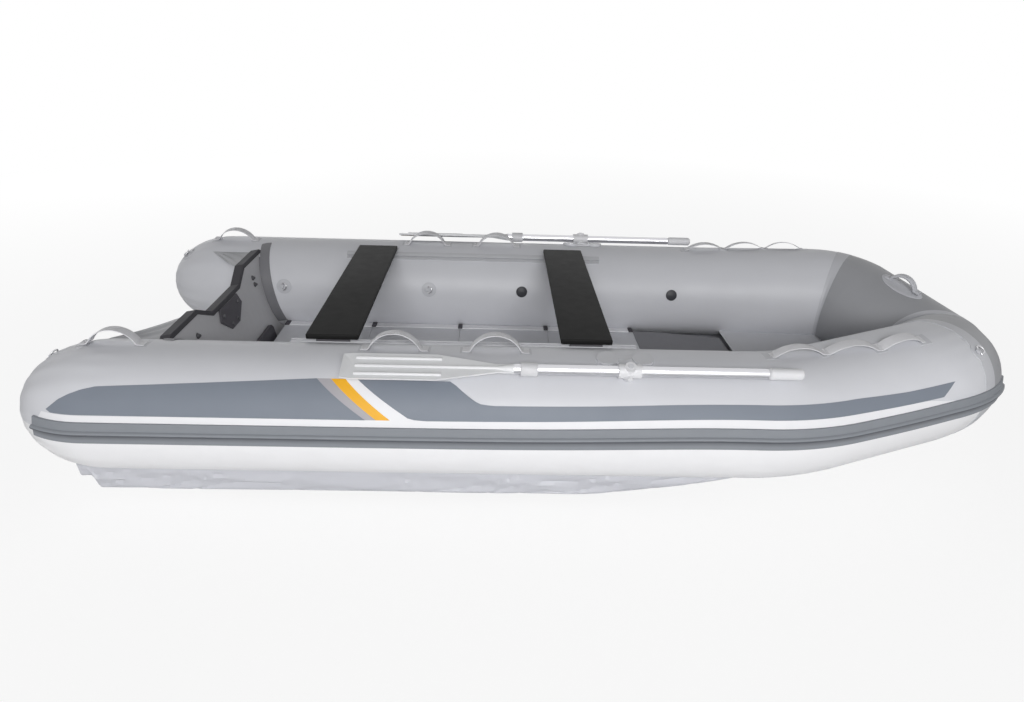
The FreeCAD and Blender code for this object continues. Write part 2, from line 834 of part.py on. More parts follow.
def seat_rail(side):
    """T-headed rail: a glued foot, a neck and the head that carries the benches."""
    foot, neck, head = rail_base_width / 2, rail_neck_width / 2, rail_head_width / 2
    level_1 = glue_gap + rail_base_thickness
    level_2 = level_1 + rail_neck_height
    level_3 = level_2 + rail_head_thickness
    half = [(foot, -skin_bite), (foot, level_1), (neck, level_1), (neck, level_2),
            (head, level_2), (head, level_3)]
    points = half + [(-across, out) for across, out in reversed(half)]
    return trimmed(prism(rail_seat(side), points, rail_end - rail_start), side)


def rail_top():
    """Height of the rail's head over the tube's skin."""
    return glue_gap + rail_base_thickness + rail_neck_height + rail_head_thickness


def seat_underside():
    """Height of a bench's underside: the shoe's slot and its roof are below it."""
    seat = rail_seat(PORT)
    slot = rail_head_width / 2 + shoe_running_gap
    level = rail_top() + shoe_running_gap
    corner = max(seat.point(0, -slot, level).z, seat.point(0, slot, level).z)
    return corner + shoe_roof + glue_gap


def seat_shoe(side, middle):
    """Slider under a bench's end, wrapped round the rail's head."""
    seat = rail_seat(side)
    gap = shoe_running_gap
    low = glue_gap + rail_base_thickness + gap
    lip = low + rail_neck_height - 2 * gap
    level = rail_top() + gap
    slot = rail_head_width / 2 + gap
    outer = slot + shoe_wall
    mouth = rail_neck_width / 2 + gap
    roof = seat_underside() - glue_gap
    high = roof - seat.skin.z + 2 * outer
    start = middle - shoe_length / 2 - rail_start
    block = prism(seat, [(-outer, low), (outer, low), (outer, high), (-outer, high)],
                  shoe_length, start)
    length = shoe_length + 2 * overrun
    rear = start - overrun
    head = prism(seat, [(-slot, lip), (slot, lip), (slot, level), (-slot, level)], length, rear)
    neck = prism(seat, [(-mouth, 0), (mouth, 0), (mouth, level), (-mouth, level)], length, rear)
    size = 2 * tube_radius
    sky = Part.makeBox(length, 2 * size, size,
                       Vec(middle - length / 2, seat.skin.y - size, roof))
    return block.cut(head.fuse(neck)).cut(sky)


def seat_shoes(middle):
    return Part.makeCompound([seat_shoe(side, middle) for side in SIDE_NAMES])


def bench(middle):
    half_length = tube_half_spacing - seat_end_inset
    board = Part.makeBox(seat_width, 2 * half_length, seat_thickness,
                         Vec(middle - seat_width / 2, -half_length, seat_underside()))
    upright = [edge for edge in board.Edges
               if abs(edge.Vertexes[0].Z - edge.Vertexes[-1].Z) > seat_thickness / 2]
    return board.makeFillet(seat_corner_radius, upright)


def strap_arch(seat, span, height, width, thickness=strap_thickness, foot=strap_foot):
    """A webbing arch between two flat feet, standing on the tube's skin."""
    half = span / 2
    base = glue_gap
    top = base + thickness
    side_out = -width / 2

    def spot(along, out):
        return seat.point(along, side_out, out)

    inner = Part.Arc(spot(-half, base), spot(0, base + height), spot(half, base)).toShape()
    outer = Part.Arc(spot(-half - thickness, top), spot(0, top + height),
                     spot(half + thickness, top)).toShape()
    edges = [inner, outer,
             Part.makeLine(spot(half, base), spot(half + foot, base)),
             Part.makeLine(spot(half + foot, base), spot(half + foot, top)),
             Part.makeLine(spot(half + foot, top), spot(half + thickness, top)),
             Part.makeLine(spot(-half, base), spot(-half - foot, base)),
             Part.makeLine(spot(-half - foot, base), spot(-half - foot, top)),
             Part.makeLine(spot(-half - foot, top), spot(-half - thickness, top))]
    face = Part.Face(Part.Wire(Part.__sortEdges__(edges)))
    return face.extrude(seat.across * width)


def lifting_straps(side):
    """A short high strap near the stern and two longer ones amidships."""
    line = LINES[side]
    straps = [strap_arch(Seat(line, stern_strap_at, strap_angle), stern_strap_span,
                         stern_strap_height, side_strap_width)]
    for x in mid_straps_at:
        straps.append(strap_arch(Seat(line, x, strap_angle), side_strap_span,
                                 side_strap_height, side_strap_width))
    return Part.makeCompound(straps)


def bow_strap(side):
    """One continuous strap with three arches between four glued places."""
    line = LINES[side]
    joints = [Seat(line, x, angle) for x, angle in zip(bow_strap_joints, bow_strap_angles)]
    arches = []
    for rear, front in zip(joints, joints[1:]):
        seat = Seat(line, (rear.centre.x + front.centre.x) / 2, 0)
        start, end = rear.point(0, 0, bow_strap_lift), front.point(0, 0, bow_strap_lift)
        step = end - start
        seat.along = unit(step)
        level = rear.out + front.out
        seat.out = unit(level - seat.along * level.dot(seat.along))
        seat.across = unit(seat.out.cross(seat.along)) * -side
        seat.skin = (start + end) / 2
        span = step.Length - 2 * strap_foot * bow_foot_share
        arches.append(strap_arch(seat, span, bow_strap_height, bow_strap_width))
    foot, half = strap_foot * bow_foot_share, bow_strap_width / 2
    depth = bow_strap_lift + strap_thickness / 2 - glue_gap
    soles = []
    for joint in joints:
        plan = [joint.point(along, across, glue_gap) for along, across in
                ((-foot, -half), (foot, -half), (foot, half), (-foot, half))]
        soles.append(polygon_face(plan).extrude(joint.out * depth))
    return joined(arches + soles)


def valve(seat):
    start = seat.point(0, 0, -skin_bite)
    flange = cylinder(valve_radius, start, seat.out, skin_bite + valve_height)
    cap = cylinder(valve_cap_radius, start, seat.out,
                   skin_bite + valve_height + valve_cap_height)
    return flange.fuse(cap).removeSplitter()


def valves(side):
    seats = [Seat(LINES[side], x, fitting_angle) for x in (valve_aft_at, valve_fore_at)]
    return Part.makeCompound([trimmed(valve(seat), side) for seat in seats])


def ring_patch(seat):
    """Round patch with a saddle that holds a flat ring lying on it."""
    patch = cylinder(ring_patch_radius, seat.point(0, 0, -skin_bite), seat.out,
                     skin_bite + ring_patch_thickness)
    base = seat.point(0, 0, ring_patch_thickness + glue_gap)
    loop = cylinder(ring_loop_radius + ring_wire_radius, base, seat.out, 2 * ring_wire_radius)
    loop = loop.cut(cylinder(ring_loop_radius - ring_wire_radius, base, seat.out,
                             2 * ring_wire_radius))
    saddle_start = seat.point(-ring_loop_radius - ring_saddle_width, -ring_saddle_width / 2,
                              ring_patch_thickness / 2)
    saddle = Part.makeBox(2 * ring_saddle_width, ring_saddle_width,
                          ring_patch_thickness / 2 + ring_saddle_height)
    saddle.Placement = FreeCAD.Placement(
        saddle_start, FreeCAD.Rotation(seat.along, seat.across, seat.out))
    return patch.multiFuse([loop, saddle]).removeSplitter()


def stern_seat(side):
    """Place on the upper part of the stern dome, square to its skin."""
    share = 1 - stern_ring_at / dome_length
    radius = tube_radius * math.sqrt(1 - share ** 2)
    seat = Seat(LINES[side], stern_ring_at, stern_ring_angle, radius)
    slope = math.atan2(tube_radius ** 2 * share, dome_length * radius)
    out = seat.out * math.cos(slope) - seat.along * math.sin(slope)
    seat.along = seat.along * math.cos(slope) + seat.out * math.sin(slope)
    seat.out = out
    return seat


def ring_patches(side):
    """Two patches inside the cockpit, one on the dome and one beside the bow."""
    line = LINES[side]
    seats = [Seat(line, x, fitting_angle) for x in inner_ring_stations]
    seats.append(stern_seat(side))
    patches = [trimmed(ring_patch(seat), side) for seat in seats]
    bow = ring_patch(Seat(line, bow_ring_at, bow_ring_angle))
    patches.append(bow.cut(CLEAR_BOWS[side]).cut(CLEAR_TUBES[side]))
    return Part.makeCompound(patches)


def bow_grip():
    """Moulded carrying grip on its oval patch, on the port bow tube."""
    line = LINES[PORT]
    start = line.shoulder.end.x
    x = start + (nose_from_stern - start) * bow_grip_share
    share = (x - start) / (nose_from_stern - start)
    radius = tube_radius + (nose_radius - tube_radius) * share
    seat = Seat(line, x, bow_grip_angle, radius)
    half_length, half_width = grip_patch_length / 2, grip_patch_width / 2
    centre = seat.point(0, 0, glue_gap)
    oval = Part.Ellipse(centre + seat.along * half_length, centre + seat.across * half_width, centre)
    column = Part.Face(Part.Wire(oval.toShape())).extrude(seat.out * tube_radius)
    column.translate(seat.out * -half_width)
    shell = bow_tube(PORT, glue_gap + grip_patch_thickness)
    patch = column.common(shell)
    arch = strap_arch(seat, bow_grip_span, bow_grip_height, bow_grip_width, bow_grip_thickness,
                      2 * bow_grip_thickness)
    return patch.fuse(arch).cut(CLEAR_BOWS[PORT]).removeSplitter()


def oar_seat(side):
    return Seat(LINES[side], rowlock_at, -oar_angle)


def oar_point(side, x, across=0.0, out=0.0):
    """A point by its distance from the stern, on the stowed oar's own axes."""
    return oar_seat(side).point(x - rowlock_at, across, oar_standoff + out)


def rowlock(side):
    """Two-lobed base high on the tube, bridged to a boss with the sleeve's pin."""
    line = LINES[side]
    seat = oar_seat(side)
    pad = Seat(line, rowlock_at, -rowlock_pad_angle)
    bridge = Seat(line, rowlock_at, -(rowlock_pad_angle + oar_angle) / 2)
    lobe = rowlock_pad_width / 2
    step = rowlock_pad_length / 2 - lobe
    base = -skin_bite
    pieces = [cylinder(lobe, pad.point(sign * step, 0, base), pad.out,
                       rowlock_lobe_thickness - base) for sign in (1, -1)]
    waist = lobe * rowlock_waist_share
    bar = [pad.point(along, across, base) for along, across in
           ((-step, -waist), (step, -waist), (step, waist), (-step, waist))]
    pieces.append(polygon_face(bar).extrude(pad.out * (rowlock_pad_thickness - base)))
    half = rowlock_bridge_width / 2
    reach = tube_radius * math.radians(oar_angle - rowlock_pad_angle) / 2
    web = [bridge.point(along, across, 2 * base) for along, across in
           ((-half, -reach), (half, -reach), (half, reach), (-half, reach))]
    pieces.append(polygon_face(web).extrude(bridge.out * (rowlock_pad_thickness - 2 * base)))
    boss_top = oar_standoff - sleeve_radius - rowlock_step_gap
    pieces.append(cylinder(rowlock_boss_radius, seat.point(0, 0, base), seat.out,
                           boss_top - base))
    pin_top = oar_standoff + sleeve_boss_height + pin_head_height
    pieces.append(cylinder(pin_radius, seat.point(0, 0, base), seat.out, pin_top - base))
    head = cylinder(pin_head_radius, seat.point(0, 0, oar_standoff + sleeve_boss_height
                                                + rowlock_step_gap), seat.out, pin_head_height)
    pieces.append(head)
    return trimmed(joined(pieces), side)


def oar_sleeve(side):
    """Rowlock sleeve on the shaft, bored across for the pin, with a side knob."""
    seat = oar_seat(side)
    body = cylinder(sleeve_radius, oar_point(side, rowlock_at - sleeve_length / 2), seat.along,
                    sleeve_length)
    boss = cylinder(sleeve_boss_radius, oar_point(side, rowlock_at, 0, -sleeve_radius), seat.out,
                    sleeve_radius + sleeve_boss_height)
    hole = cylinder(pin_radius + pin_running_gap, oar_point(side, rowlock_at, 0, -overrun),
                    seat.out, 3 * overrun)
    shaft = cylinder(shaft_radius + glue_gap, oar_point(side, oar_aft_end), seat.along,
                     oar_fore_end - oar_aft_end)
    knob = cylinder(sleeve_knob_radius, oar_point(side, rowlock_at), -seat.across,
                    sleeve_knob_reach)
    return body.multiFuse([boss, knob]).cut(shaft).cut(hole).removeSplitter()


def oar_shaft(side):
    seat = oar_seat(side)
    tube = cylinder(shaft_radius, oar_point(side, blade_shaft_joint), seat.along,
                    grip_start - blade_shaft_joint - glue_gap)
    hole = cylinder(pin_radius + pin_running_gap, oar_point(side, rowlock_at, 0, -overrun),
                    seat.out, 3 * overrun)
    return tube.cut(hole)


def oar_stop(side):
    """Plastic stop collar on the shaft, at the blade's root."""
    seat = oar_seat(side)
    start = oar_point(side, oar_stop_at - oar_stop_length / 2)
    ring = cylinder(oar_stop_radius, start, seat.along, oar_stop_length)
    bore = cylinder(shaft_radius + glue_gap, start, seat.along, oar_stop_length)
    return ring.cut(bore)


def oar_grip(side):
    seat = oar_seat(side)
    length = oar_fore_end - grip_start
    grip = cylinder(grip_radius, oar_point(side, grip_start), seat.along, length)
    return grip.makeChamfer(grip_round, [grip.Edges[0], grip.Edges[2]])


def oar_blade(side):
    """Ribbed blade: a shouldered outline, three long ribs and a tapered root."""
    seat = oar_seat(side)
    length = blade_shaft_joint - oar_aft_end
    half = blade_width / 2
    tip = half * blade_shares["tip"]
    corner = length * blade_shares["corner"]
    wide = length * blade_shares["wide"]
    narrow = length * blade_shares["narrow"]
    outline = [(0, -tip), (0, tip), (corner, half), (wide, half), (narrow, shaft_radius),
               (length, shaft_radius), (length, -shaft_radius), (narrow, -shaft_radius),
               (wide, -half), (corner, -half)]
    points = [oar_point(side, oar_aft_end + along, across,
                        -blade_thickness / 2 - across * blade_tilt_share)
              for along, across in outline]
    blade = polygon_face(points).extrude(seat.out * blade_thickness)
    rib_start = length * blade_shares["rib_start"]
    rib_side = half * blade_shares["rib_side"]
    root_length = length * blade_shares["root"]
    middle_length = length - rib_start - root_length / 2
    pieces = []
    for across in (-rib_side, 0, rib_side):
        reach = length * blade_shares["rib_length"] if across else middle_length
        start = oar_point(side, oar_aft_end + rib_start, across,
                          blade_thickness / 2 - across * blade_tilt_share)
        pieces.append(cylinder(blade_rib_width / 2, start, seat.along, reach))
    pieces.append(Part.makeCone(blade_thickness / 2, shaft_radius, root_length,
                                oar_point(side, blade_shaft_joint - root_length), seat.along))
    return blade.multiFuse(pieces).removeSplitter()


def both(name, maker):
    return {SIDE_NAMES[side] + "_" + name: maker(side) for side in SIDE_NAMES}


nodes = {}
nodes.update({SIDE_NAMES[side] + "_tube": TUBES[side] for side in SIDE_NAMES})
nodes.update({SIDE_NAMES[side] + "_bow_tube": BOWS[side] for side in SIDE_NAMES})
nodes.update(both("rubbing_strake", rubbing_strake))
nodes["fabric_bottom"] = fabric_bottom()
nodes["keel_strip"] = keel_strip()
nodes.update(both("bilge_keel", bilge_keel))
nodes["transom"] = transom()
nodes["transom_trim"] = transom_trim()
nodes["inner_motor_pad"] = inner_motor_pad()
nodes["outer_motor_pad"] = outer_motor_pad()
nodes["towing_eyes"] = towing_eyes()
nodes["drain_plug"] = drain_plug()
nodes.update(both("flange_strip", flange_strip))
nodes["transom_foot_rail"] = transom_foot_rail()
nodes.update(both("gusset", gusset))
for number in range(floor_panel_count):
    nodes["floor_panel_%d" % (number + 1)] = floor_panel(number)
nodes["bow_board"] = bow_board()
nodes.update(both("stringer", stringer))
nodes.update(both("seat_rail", seat_rail))
nodes["aft_seat"] = bench(seat_aft_at)
nodes["aft_seat_shoes"] = seat_shoes(seat_aft_at)
nodes["fore_seat"] = bench(seat_fore_at)
nodes["fore_seat_shoes"] = seat_shoes(seat_fore_at)
nodes.update(both("lifting_straps", lifting_straps))
nodes.update(both("bow_strap", bow_strap))
nodes.update(both("valves", valves))
nodes.update(both("ring_patches", ring_patches))
nodes["bow_grip"] = bow_grip()
nodes.update(both("rowlock", rowlock))
nodes.update(both("oar_shaft", oar_shaft))
nodes.update(both("oar_blade", oar_blade))
nodes.update(both("oar_grip", oar_grip))
nodes.update(both("oar_sleeve", oar_sleeve))
nodes.update(both("oar_stop", oar_stop))

# The stored origin is the middle of the boat's length, on the ground.
whole = FreeCAD.BoundBox()
for shape in nodes.values():
    whole.add(shape.optimalBoundingBox())
centre_x = (whole.XMin + whole.XMax) / 2
for name, shape in nodes.items():
    placed = shape.copy()
    placed.translate(Vec(-centre_x, 0, 0))
    placed.exportStep("parts/" + name + ".step")

print("centre_x", round(centre_x, 3), "length", round(whole.XLength, 1), "beam",
      round(whole.YLength, 1), "height", round(whole.ZLength, 1), "low", round(whole.ZMin, 3))
for side, name in SIDE_NAMES.items():
    pin = oar_point(side, rowlock_at) - Vec(centre_x, 0, 0)
    print(name, "rowlock", pin, oar_seat(side).out)
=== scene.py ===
import bmesh
import bpy
import numpy as np
from mathutils import Matrix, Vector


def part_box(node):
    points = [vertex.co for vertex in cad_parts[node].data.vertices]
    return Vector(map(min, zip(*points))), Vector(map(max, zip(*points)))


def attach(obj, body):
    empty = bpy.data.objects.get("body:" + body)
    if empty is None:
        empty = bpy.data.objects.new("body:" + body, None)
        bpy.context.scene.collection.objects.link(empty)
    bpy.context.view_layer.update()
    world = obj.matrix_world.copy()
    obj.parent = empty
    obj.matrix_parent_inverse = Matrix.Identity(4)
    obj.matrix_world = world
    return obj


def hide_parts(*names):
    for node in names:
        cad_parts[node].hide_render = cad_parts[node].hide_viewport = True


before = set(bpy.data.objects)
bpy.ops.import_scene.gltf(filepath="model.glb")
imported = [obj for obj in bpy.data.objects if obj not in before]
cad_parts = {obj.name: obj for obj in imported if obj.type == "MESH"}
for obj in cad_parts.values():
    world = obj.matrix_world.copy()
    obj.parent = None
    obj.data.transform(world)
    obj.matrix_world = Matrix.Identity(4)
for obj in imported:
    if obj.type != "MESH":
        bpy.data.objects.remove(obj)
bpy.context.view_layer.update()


# The studio: a pale floor that keeps the boat's soft shadow, a white surround
# whose light fades upward, two wide lamps to starboard and one behind, to port.
def put(tree, kind, fed=(), **settings):
    """Adds one shader node. Settings are its own choices, and fed gives each
    input, by name or place, a value, an output, or a node for its first output."""
    made = tree.nodes.new("ShaderNode" + kind)
    for key, value in settings.items():
        setattr(made, key, value)
    for key, value in dict(fed).items():
        if isinstance(value, bpy.types.Node):
            value = value.outputs[0]
        if isinstance(value, bpy.types.NodeSocket):
            tree.links.new(value, made.inputs[key])
        else:
            made.inputs[key].default_value = value
    return made


def worked(tree, operation, *values, **settings):
    """Adds one Math node with its values in order."""
    return put(tree, "Math", dict(enumerate(values)), operation=operation, **settings)


def axes(tree, space):
    """The three axes of the coordinates in the space named."""
    return put(tree, "SeparateXYZ", {0: put(tree, "TexCoord").outputs[space]}).outputs


def paint(red, green, blue):
    """A colour named by its screen values from 0 to 255, as linear light: the
    share of 255 plus 0.055 is divided by 1.055 and raised to the power 2.4."""
    share = np.array([red, green, blue]) / 255
    return (*(((share + 0.055) / 1.055) ** 2.4).tolist(), 1.0)


def blend(tree, share, one, other):
    """The colour between two, by a share from 0 to 1."""
    return put(tree, "Mix", {0: share, 6: one, 7: other}, data_type="RGBA").outputs[2]


def bare_tree(owner):
    """An empty shader tree on a material or world."""
    owner.use_nodes = True
    owner.node_tree.nodes.clear()
    return owner.node_tree


def joined(*parts):
    """Points from their coordinates, each spread to the shape of them all."""
    return np.stack(np.broadcast_arrays(*parts), -1)


def surface(name, grids, flats=None, sharp=38):
    """A mesh from grids of points, rows by columns. Each face joins four
    neighbours, points in one place are merged, which closes poles and seams, and
    the faces are turned outward. Flats give the same points laid flat, in metres."""
    firsts = np.cumsum([0] + [grid.shape[0] * grid.shape[1] for grid in grids])
    faces = []
    for first, grid in zip(firsts, grids):
        index = first + np.arange(grid.shape[0] * grid.shape[1]).reshape(grid.shape[:2])
        around = [index[:-1, :-1], index[:-1, 1:], index[1:, 1:], index[1:, :-1]]
        faces.append(np.stack(around, -1).reshape(-1, 4))
    mesh = bpy.data.meshes.new(name)
    points = np.vstack([grid.reshape(-1, 3) for grid in grids])
    mesh.from_pydata(points.tolist(), [], np.concatenate(faces).tolist())
    if flats is not None:
        corners = np.zeros(len(mesh.loops), int)
        mesh.loops.foreach_get("vertex_index", corners)
        laid = np.vstack([flat.reshape(-1, 2) for flat in flats])
        mesh.uv_layers.new(name="Laid_flat").data.foreach_set("uv", laid[corners].ravel())
    welded = bmesh.new()
    welded.from_mesh(mesh)
    bmesh.ops.remove_doubles(welded, verts=welded.verts, dist=2e-6)
    bmesh.ops.recalc_face_normals(welded, faces=welded.faces)
    welded.to_mesh(mesh)
    welded.free()
    mesh.shade_smooth()
    mesh.set_sharp_from_angle(angle=np.radians(sharp))
    piece = bpy.data.objects.new(name, mesh)
    bpy.context.collection.objects.link(piece)
    return piece


floor_reach, floor_drop = 30, 0.0005
across, along = np.meshgrid((-floor_reach, floor_reach), (-floor_reach, floor_reach))
floor = surface("Studio_floor", [joined(across, along, -floor_drop)])
pale_floor = bpy.data.materials.new("Pale_floor")
tree = bare_tree(pale_floor)
seen = put(tree, "LightPath")
matt = put(tree, "BsdfDiffuse", {"Color": paint(244, 244, 244)})
plain = put(tree, "Emission", {"Color": (1, 1, 1, 1), "Strength": 1.0})
# To the camera the floor pales with distance, until it meets the white surround.
pale_from, pale_to, least_pale = 2.2, 7.0, 0.86
reach = put(tree, "VectorMath", {0: put(tree, "TexCoord").outputs["Object"]}, operation="LENGTH")
paler = put(tree, "MapRange", {0: reach.outputs["Value"], 1: pale_from, 2: pale_to,
                               3: least_pale, 4: 1.0})
share = worked(tree, "MULTIPLY", seen.outputs["Is Camera Ray"], paler)
both_ways = put(tree, "MixShader", {0: share, 1: matt, 2: plain})
put(tree, "OutputMaterial", {"Surface": both_ways})
floor.data.materials.append(pale_floor)

# The surround lights the boat with a fill that is full at the horizon and below
# it, and falls to nothing overhead. Looked at or mirrored, it is plain white.
fill_strength, fill_fall = 0.72, 1.6
world = bpy.data.worlds.new("White_surround")
bpy.context.scene.world = world
tree = bare_tree(world)
seen = put(tree, "LightPath")
direct = seen.outputs["Is Camera Ray"]
for ray in ("Is Glossy Ray", "Is Transmission Ray"):
    direct = worked(tree, "MAXIMUM", direct, seen.outputs[ray])
below_top = worked(tree, "SUBTRACT", 1.0, axes(tree, "Generated")[2], use_clamp=True)
falling = worked(tree, "POWER", below_top, fill_fall)
glow = worked(tree, "MULTIPLY", falling, fill_strength)
fill = put(tree, "Background", {"Color": (1, 1, 1, 1), "Strength": glow})
white = put(tree, "Background", {"Color": (1, 1, 1, 1), "Strength": 1.0})
surround = put(tree, "MixShader", {0: direct, 1: fill, 2: white})
put(tree, "OutputWorld", {"Surface": surround})


def unit(direction):
    """The same direction, one long."""
    return direction / np.linalg.norm(direction, axis=-1, keepdims=True)


def stood_up(owner, right, upright, back, place):
    """Puts a lamp or camera in place, turned to its own three directions."""
    turn = np.eye(4)
    turn[:3] = np.stack([right, upright, back, place], 1)
    owner.matrix_world = Matrix(turn.tolist())
    bpy.context.collection.objects.link(owner)


# Each lamp: its place, the place that it faces, its breadth and height, its power.
# The one behind leaves no glint along the tubes.
for name, place, target, size, power in (
        ("Front_lamp", (0.1, -7.0, 3.8), (0.0, 0.0, 0.3), (5.0, 2.0), 325),
        ("Low_lamp", (0.0, -6.0, 0.8), (0.0, 0.0, 0.2), (5.0, 0.9), 42),
        ("Back_lamp", (-4.5, 6.0, 1.6), (0.0, 0.0, 0.3), (5.0, 2.0), 190)):
    lamp = bpy.data.lights.new(name, "AREA")
    lamp.shape = "RECTANGLE"
    lamp.size, lamp.size_y = size
    lamp.energy = power
    hung = bpy.data.objects.new(name, lamp)
    hung.visible_glossy = name != "Back_lamp"
    back = unit(np.subtract(place, target))
    level = unit(np.cross((0, 0, 1), back))
    stood_up(hung, level, np.cross(back, level), back, place)

# The camera stands where the photograph was taken from, as fitted to the tubes.
pitch, heading, roll = np.radians((25.16, -1.887, 1.976))
ahead = np.array([-np.sin(heading) * np.cos(pitch), np.cos(heading) * np.cos(pitch),
                  -np.sin(pitch)])
level = np.array([np.cos(heading), np.sin(heading), 0])
raised = np.cross(level, ahead)
right = level * np.cos(roll) + raised * np.sin(roll)
upright = raised * np.cos(roll) - level * np.sin(roll)
lens = bpy.data.cameras.new("Photo_camera")
lens.lens, lens.sensor_width = 24.84, 36
camera = bpy.data.objects.new("Photo_camera", lens)
stood_up(camera, right, upright, -ahead, (-0.314863, -2.840, 1.626))
bpy.context.scene.camera = camera
bpy.context.scene.view_settings.view_transform = "Standard"


# The air tubes: coated cloth, cut in gores, glued over seam tapes and blown up
# tight. Each side is a domed tube that bends inward, and a bow tube to the nose.
tube_radius = 0.227
dome_length = 0.300
stern_tip = -1.928863
half_spacing, axis_height = 0.642, 0.360
tube_corners = np.array([(0, half_spacing, axis_height), (2.664, half_spacing, axis_height),
                         (3.310, 0.451, 0.425), (3.630, 0, 0.315)])
bend_radii = np.array([0.900, 0.330])
nose_slope = 0.0843
sides = {"port": 1, "starboard": -1}

runs = np.diff(tube_corners, axis=0)
run_lengths = np.linalg.norm(runs, axis=1)
headings = runs / run_lengths[:, None]
turns = np.arccos((headings[:-1] * headings[1:]).sum(1))
setbacks = bend_radii * np.tan(turns / 2)
stage_lengths = np.array([run_lengths[0] - setbacks[0], bend_radii[0] * turns[0],
                          run_lengths[1] - setbacks.sum(), bend_radii[1] * turns[1]])
bend_start, bend_end, shoulder_start, shoulder_end = np.cumsum(stage_lengths)
shoulder_seam = (shoulder_start + shoulder_end) / 2
bow_run = run_lengths[2] - setbacks[1]
bend_inward = unit(headings[1:] - headings[:-1] * np.cos(turns)[:, None])


def tube_line(s):
    """Centreline of the port tube at distances s from the stern. Straight runs
    add their own length, each bend adds a circular arc, and the heading turns in
    the bends alone. Inboard is level, and upward is square to both."""
    s = np.asarray(s, float)[..., None]
    point = tube_corners[0] + headings[0] * np.minimum(s, bend_start)
    point = point + headings[1] * np.clip(s - bend_end, 0, stage_lengths[2])
    point = point + headings[2] * np.maximum(s - shoulder_end, 0)
    heading = headings[0]
    for bend, start in enumerate((bend_start, shoulder_start)):
        angle = np.clip((s - start) / bend_radii[bend], 0, turns[bend])
        before, inward = headings[bend], bend_inward[bend]
        point = point + bend_radii[bend] * (before * np.sin(angle) + inward * (1 - np.cos(angle)))
        heading = np.where(angle > 0, before * np.cos(angle) + inward * np.sin(angle), heading)
    inboard = unit(np.cross(heading, (0, 0, 1.0)))
    return point, heading, inboard, np.cross(inboard, heading)


def eased(share):
    """A share from 0 to 1 that starts and stops gently: 3 squares less 2 cubes."""
    share = np.clip(share, 0, 1)
    return share * share * (3 - 2 * share)


def shut(grid):
    """The grid with one more row at each end, at the end row's middle."""
    first, last = (np.broadcast_to(grid[end, :-1].mean(0), grid[end].shape)[None] for end in (0, -1))
    return np.vstack([first, grid, last])


def ended(rows):
    """The rows with the first and the last one doubled, to match a shut grid."""
    return np.vstack([rows[:1], rows, rows[-1:]])


def radius_at(s, lift=0.0):
    """Radius of the cloth at distances s, or of a layer lifted from it. The dome
    is half an ellipse, and past the shoulder the radius shrinks evenly."""
    radius = tube_radius - nose_slope * np.maximum(s - shoulder_end, 0) + lift
    return radius * np.sqrt(1 - np.clip(1 - s / dome_length, 0, 1) ** 2)


def skin(side, s, spin, lift=0.0):
    """Points on a tube's cloth at distances s along it and at turns spin round
    it from its top, positive to the cockpit. On its cockpit side the shoulder is
    two straight tubes cut on the slant: the circle of its bend is moved out from
    the bend's centre until it meets them. Lift is out from the cloth."""
    point, heading, inboard, upward = tube_line(s)
    s, spin, lift = (np.asarray(value, float)[..., None] for value in (s, spin, lift))
    radius = radius_at(s, lift)
    out = upward * np.cos(spin) + inboard * np.sin(spin)
    point = point - heading * lift * np.clip(1 - s / dome_length, 0, 1) + radius * out
    angle = np.clip((s - shoulder_start) / bend_radii[1], 0, turns[1])
    inward = bend_inward[1] * np.cos(angle) - headings[1] * np.sin(angle)
    reach = bend_radii[1] - radius * (out * inward).sum(-1, keepdims=True)
    slant = eased((spin - 0.10) / 0.55) * eased((2.9 - spin) / 0.5)
    farther = 1 / np.cos(np.minimum(angle, turns[1] - angle)) - 1
    point = point - inward * reach * farther * slant
    return (point + (stern_tip, 0, 0)) * (1, sides[side], 1)


def nose_reach(spin, lift=0.0):
    """Distance from the stern at which a line along the bow tube meets the
    middle of the boat, where the two bow tubes are cut and glued together."""
    point, heading, inboard, upward = tube_line(shoulder_end + 1e-6)
    outward = upward[1] * np.cos(spin) + inboard[1] * np.sin(spin)
    return shoulder_end - (point[1] + (tube_radius + lift) * outward) / (
        heading[1] - nose_slope * outward)


def pucker(s, spin):
    """How far the tight cloth is drawn in: fine pleats that fade away from the
    cone's end and from the seams."""
    folds = 1 + np.cos(17 * spin + 2 * np.sin(3 * spin))
    folds = 0.0016 * np.exp(-((s - 0.13) / 0.10) ** 2) * folds
    for seam, depth in ((shoulder_seam, 0.0012), (dome_length + 0.02, 0.0008)):
        near = np.exp(-np.abs(s - seam) / 0.05)
        folds = folds + depth * near * (1 + np.sin(23 * spin + 3 * np.sin(2 * spin)))
    return -folds


def effect(name, inputs, outputs):
    """An empty node group, with its sockets' names and kinds: the group, what
    comes in and what goes out."""
    group = bpy.data.node_groups.new(name, "ShaderNodeTree")
    for way, sockets in (("INPUT", inputs), ("OUTPUT", outputs)):
        for key, kind in sockets.items():
            group.interface.new_socket(key, in_out=way, socket_type="NodeSocket" + kind)
    ends = group.nodes.new("NodeGroupOutput").inputs
    return group, group.nodes.new("NodeGroupInput").outputs, ends


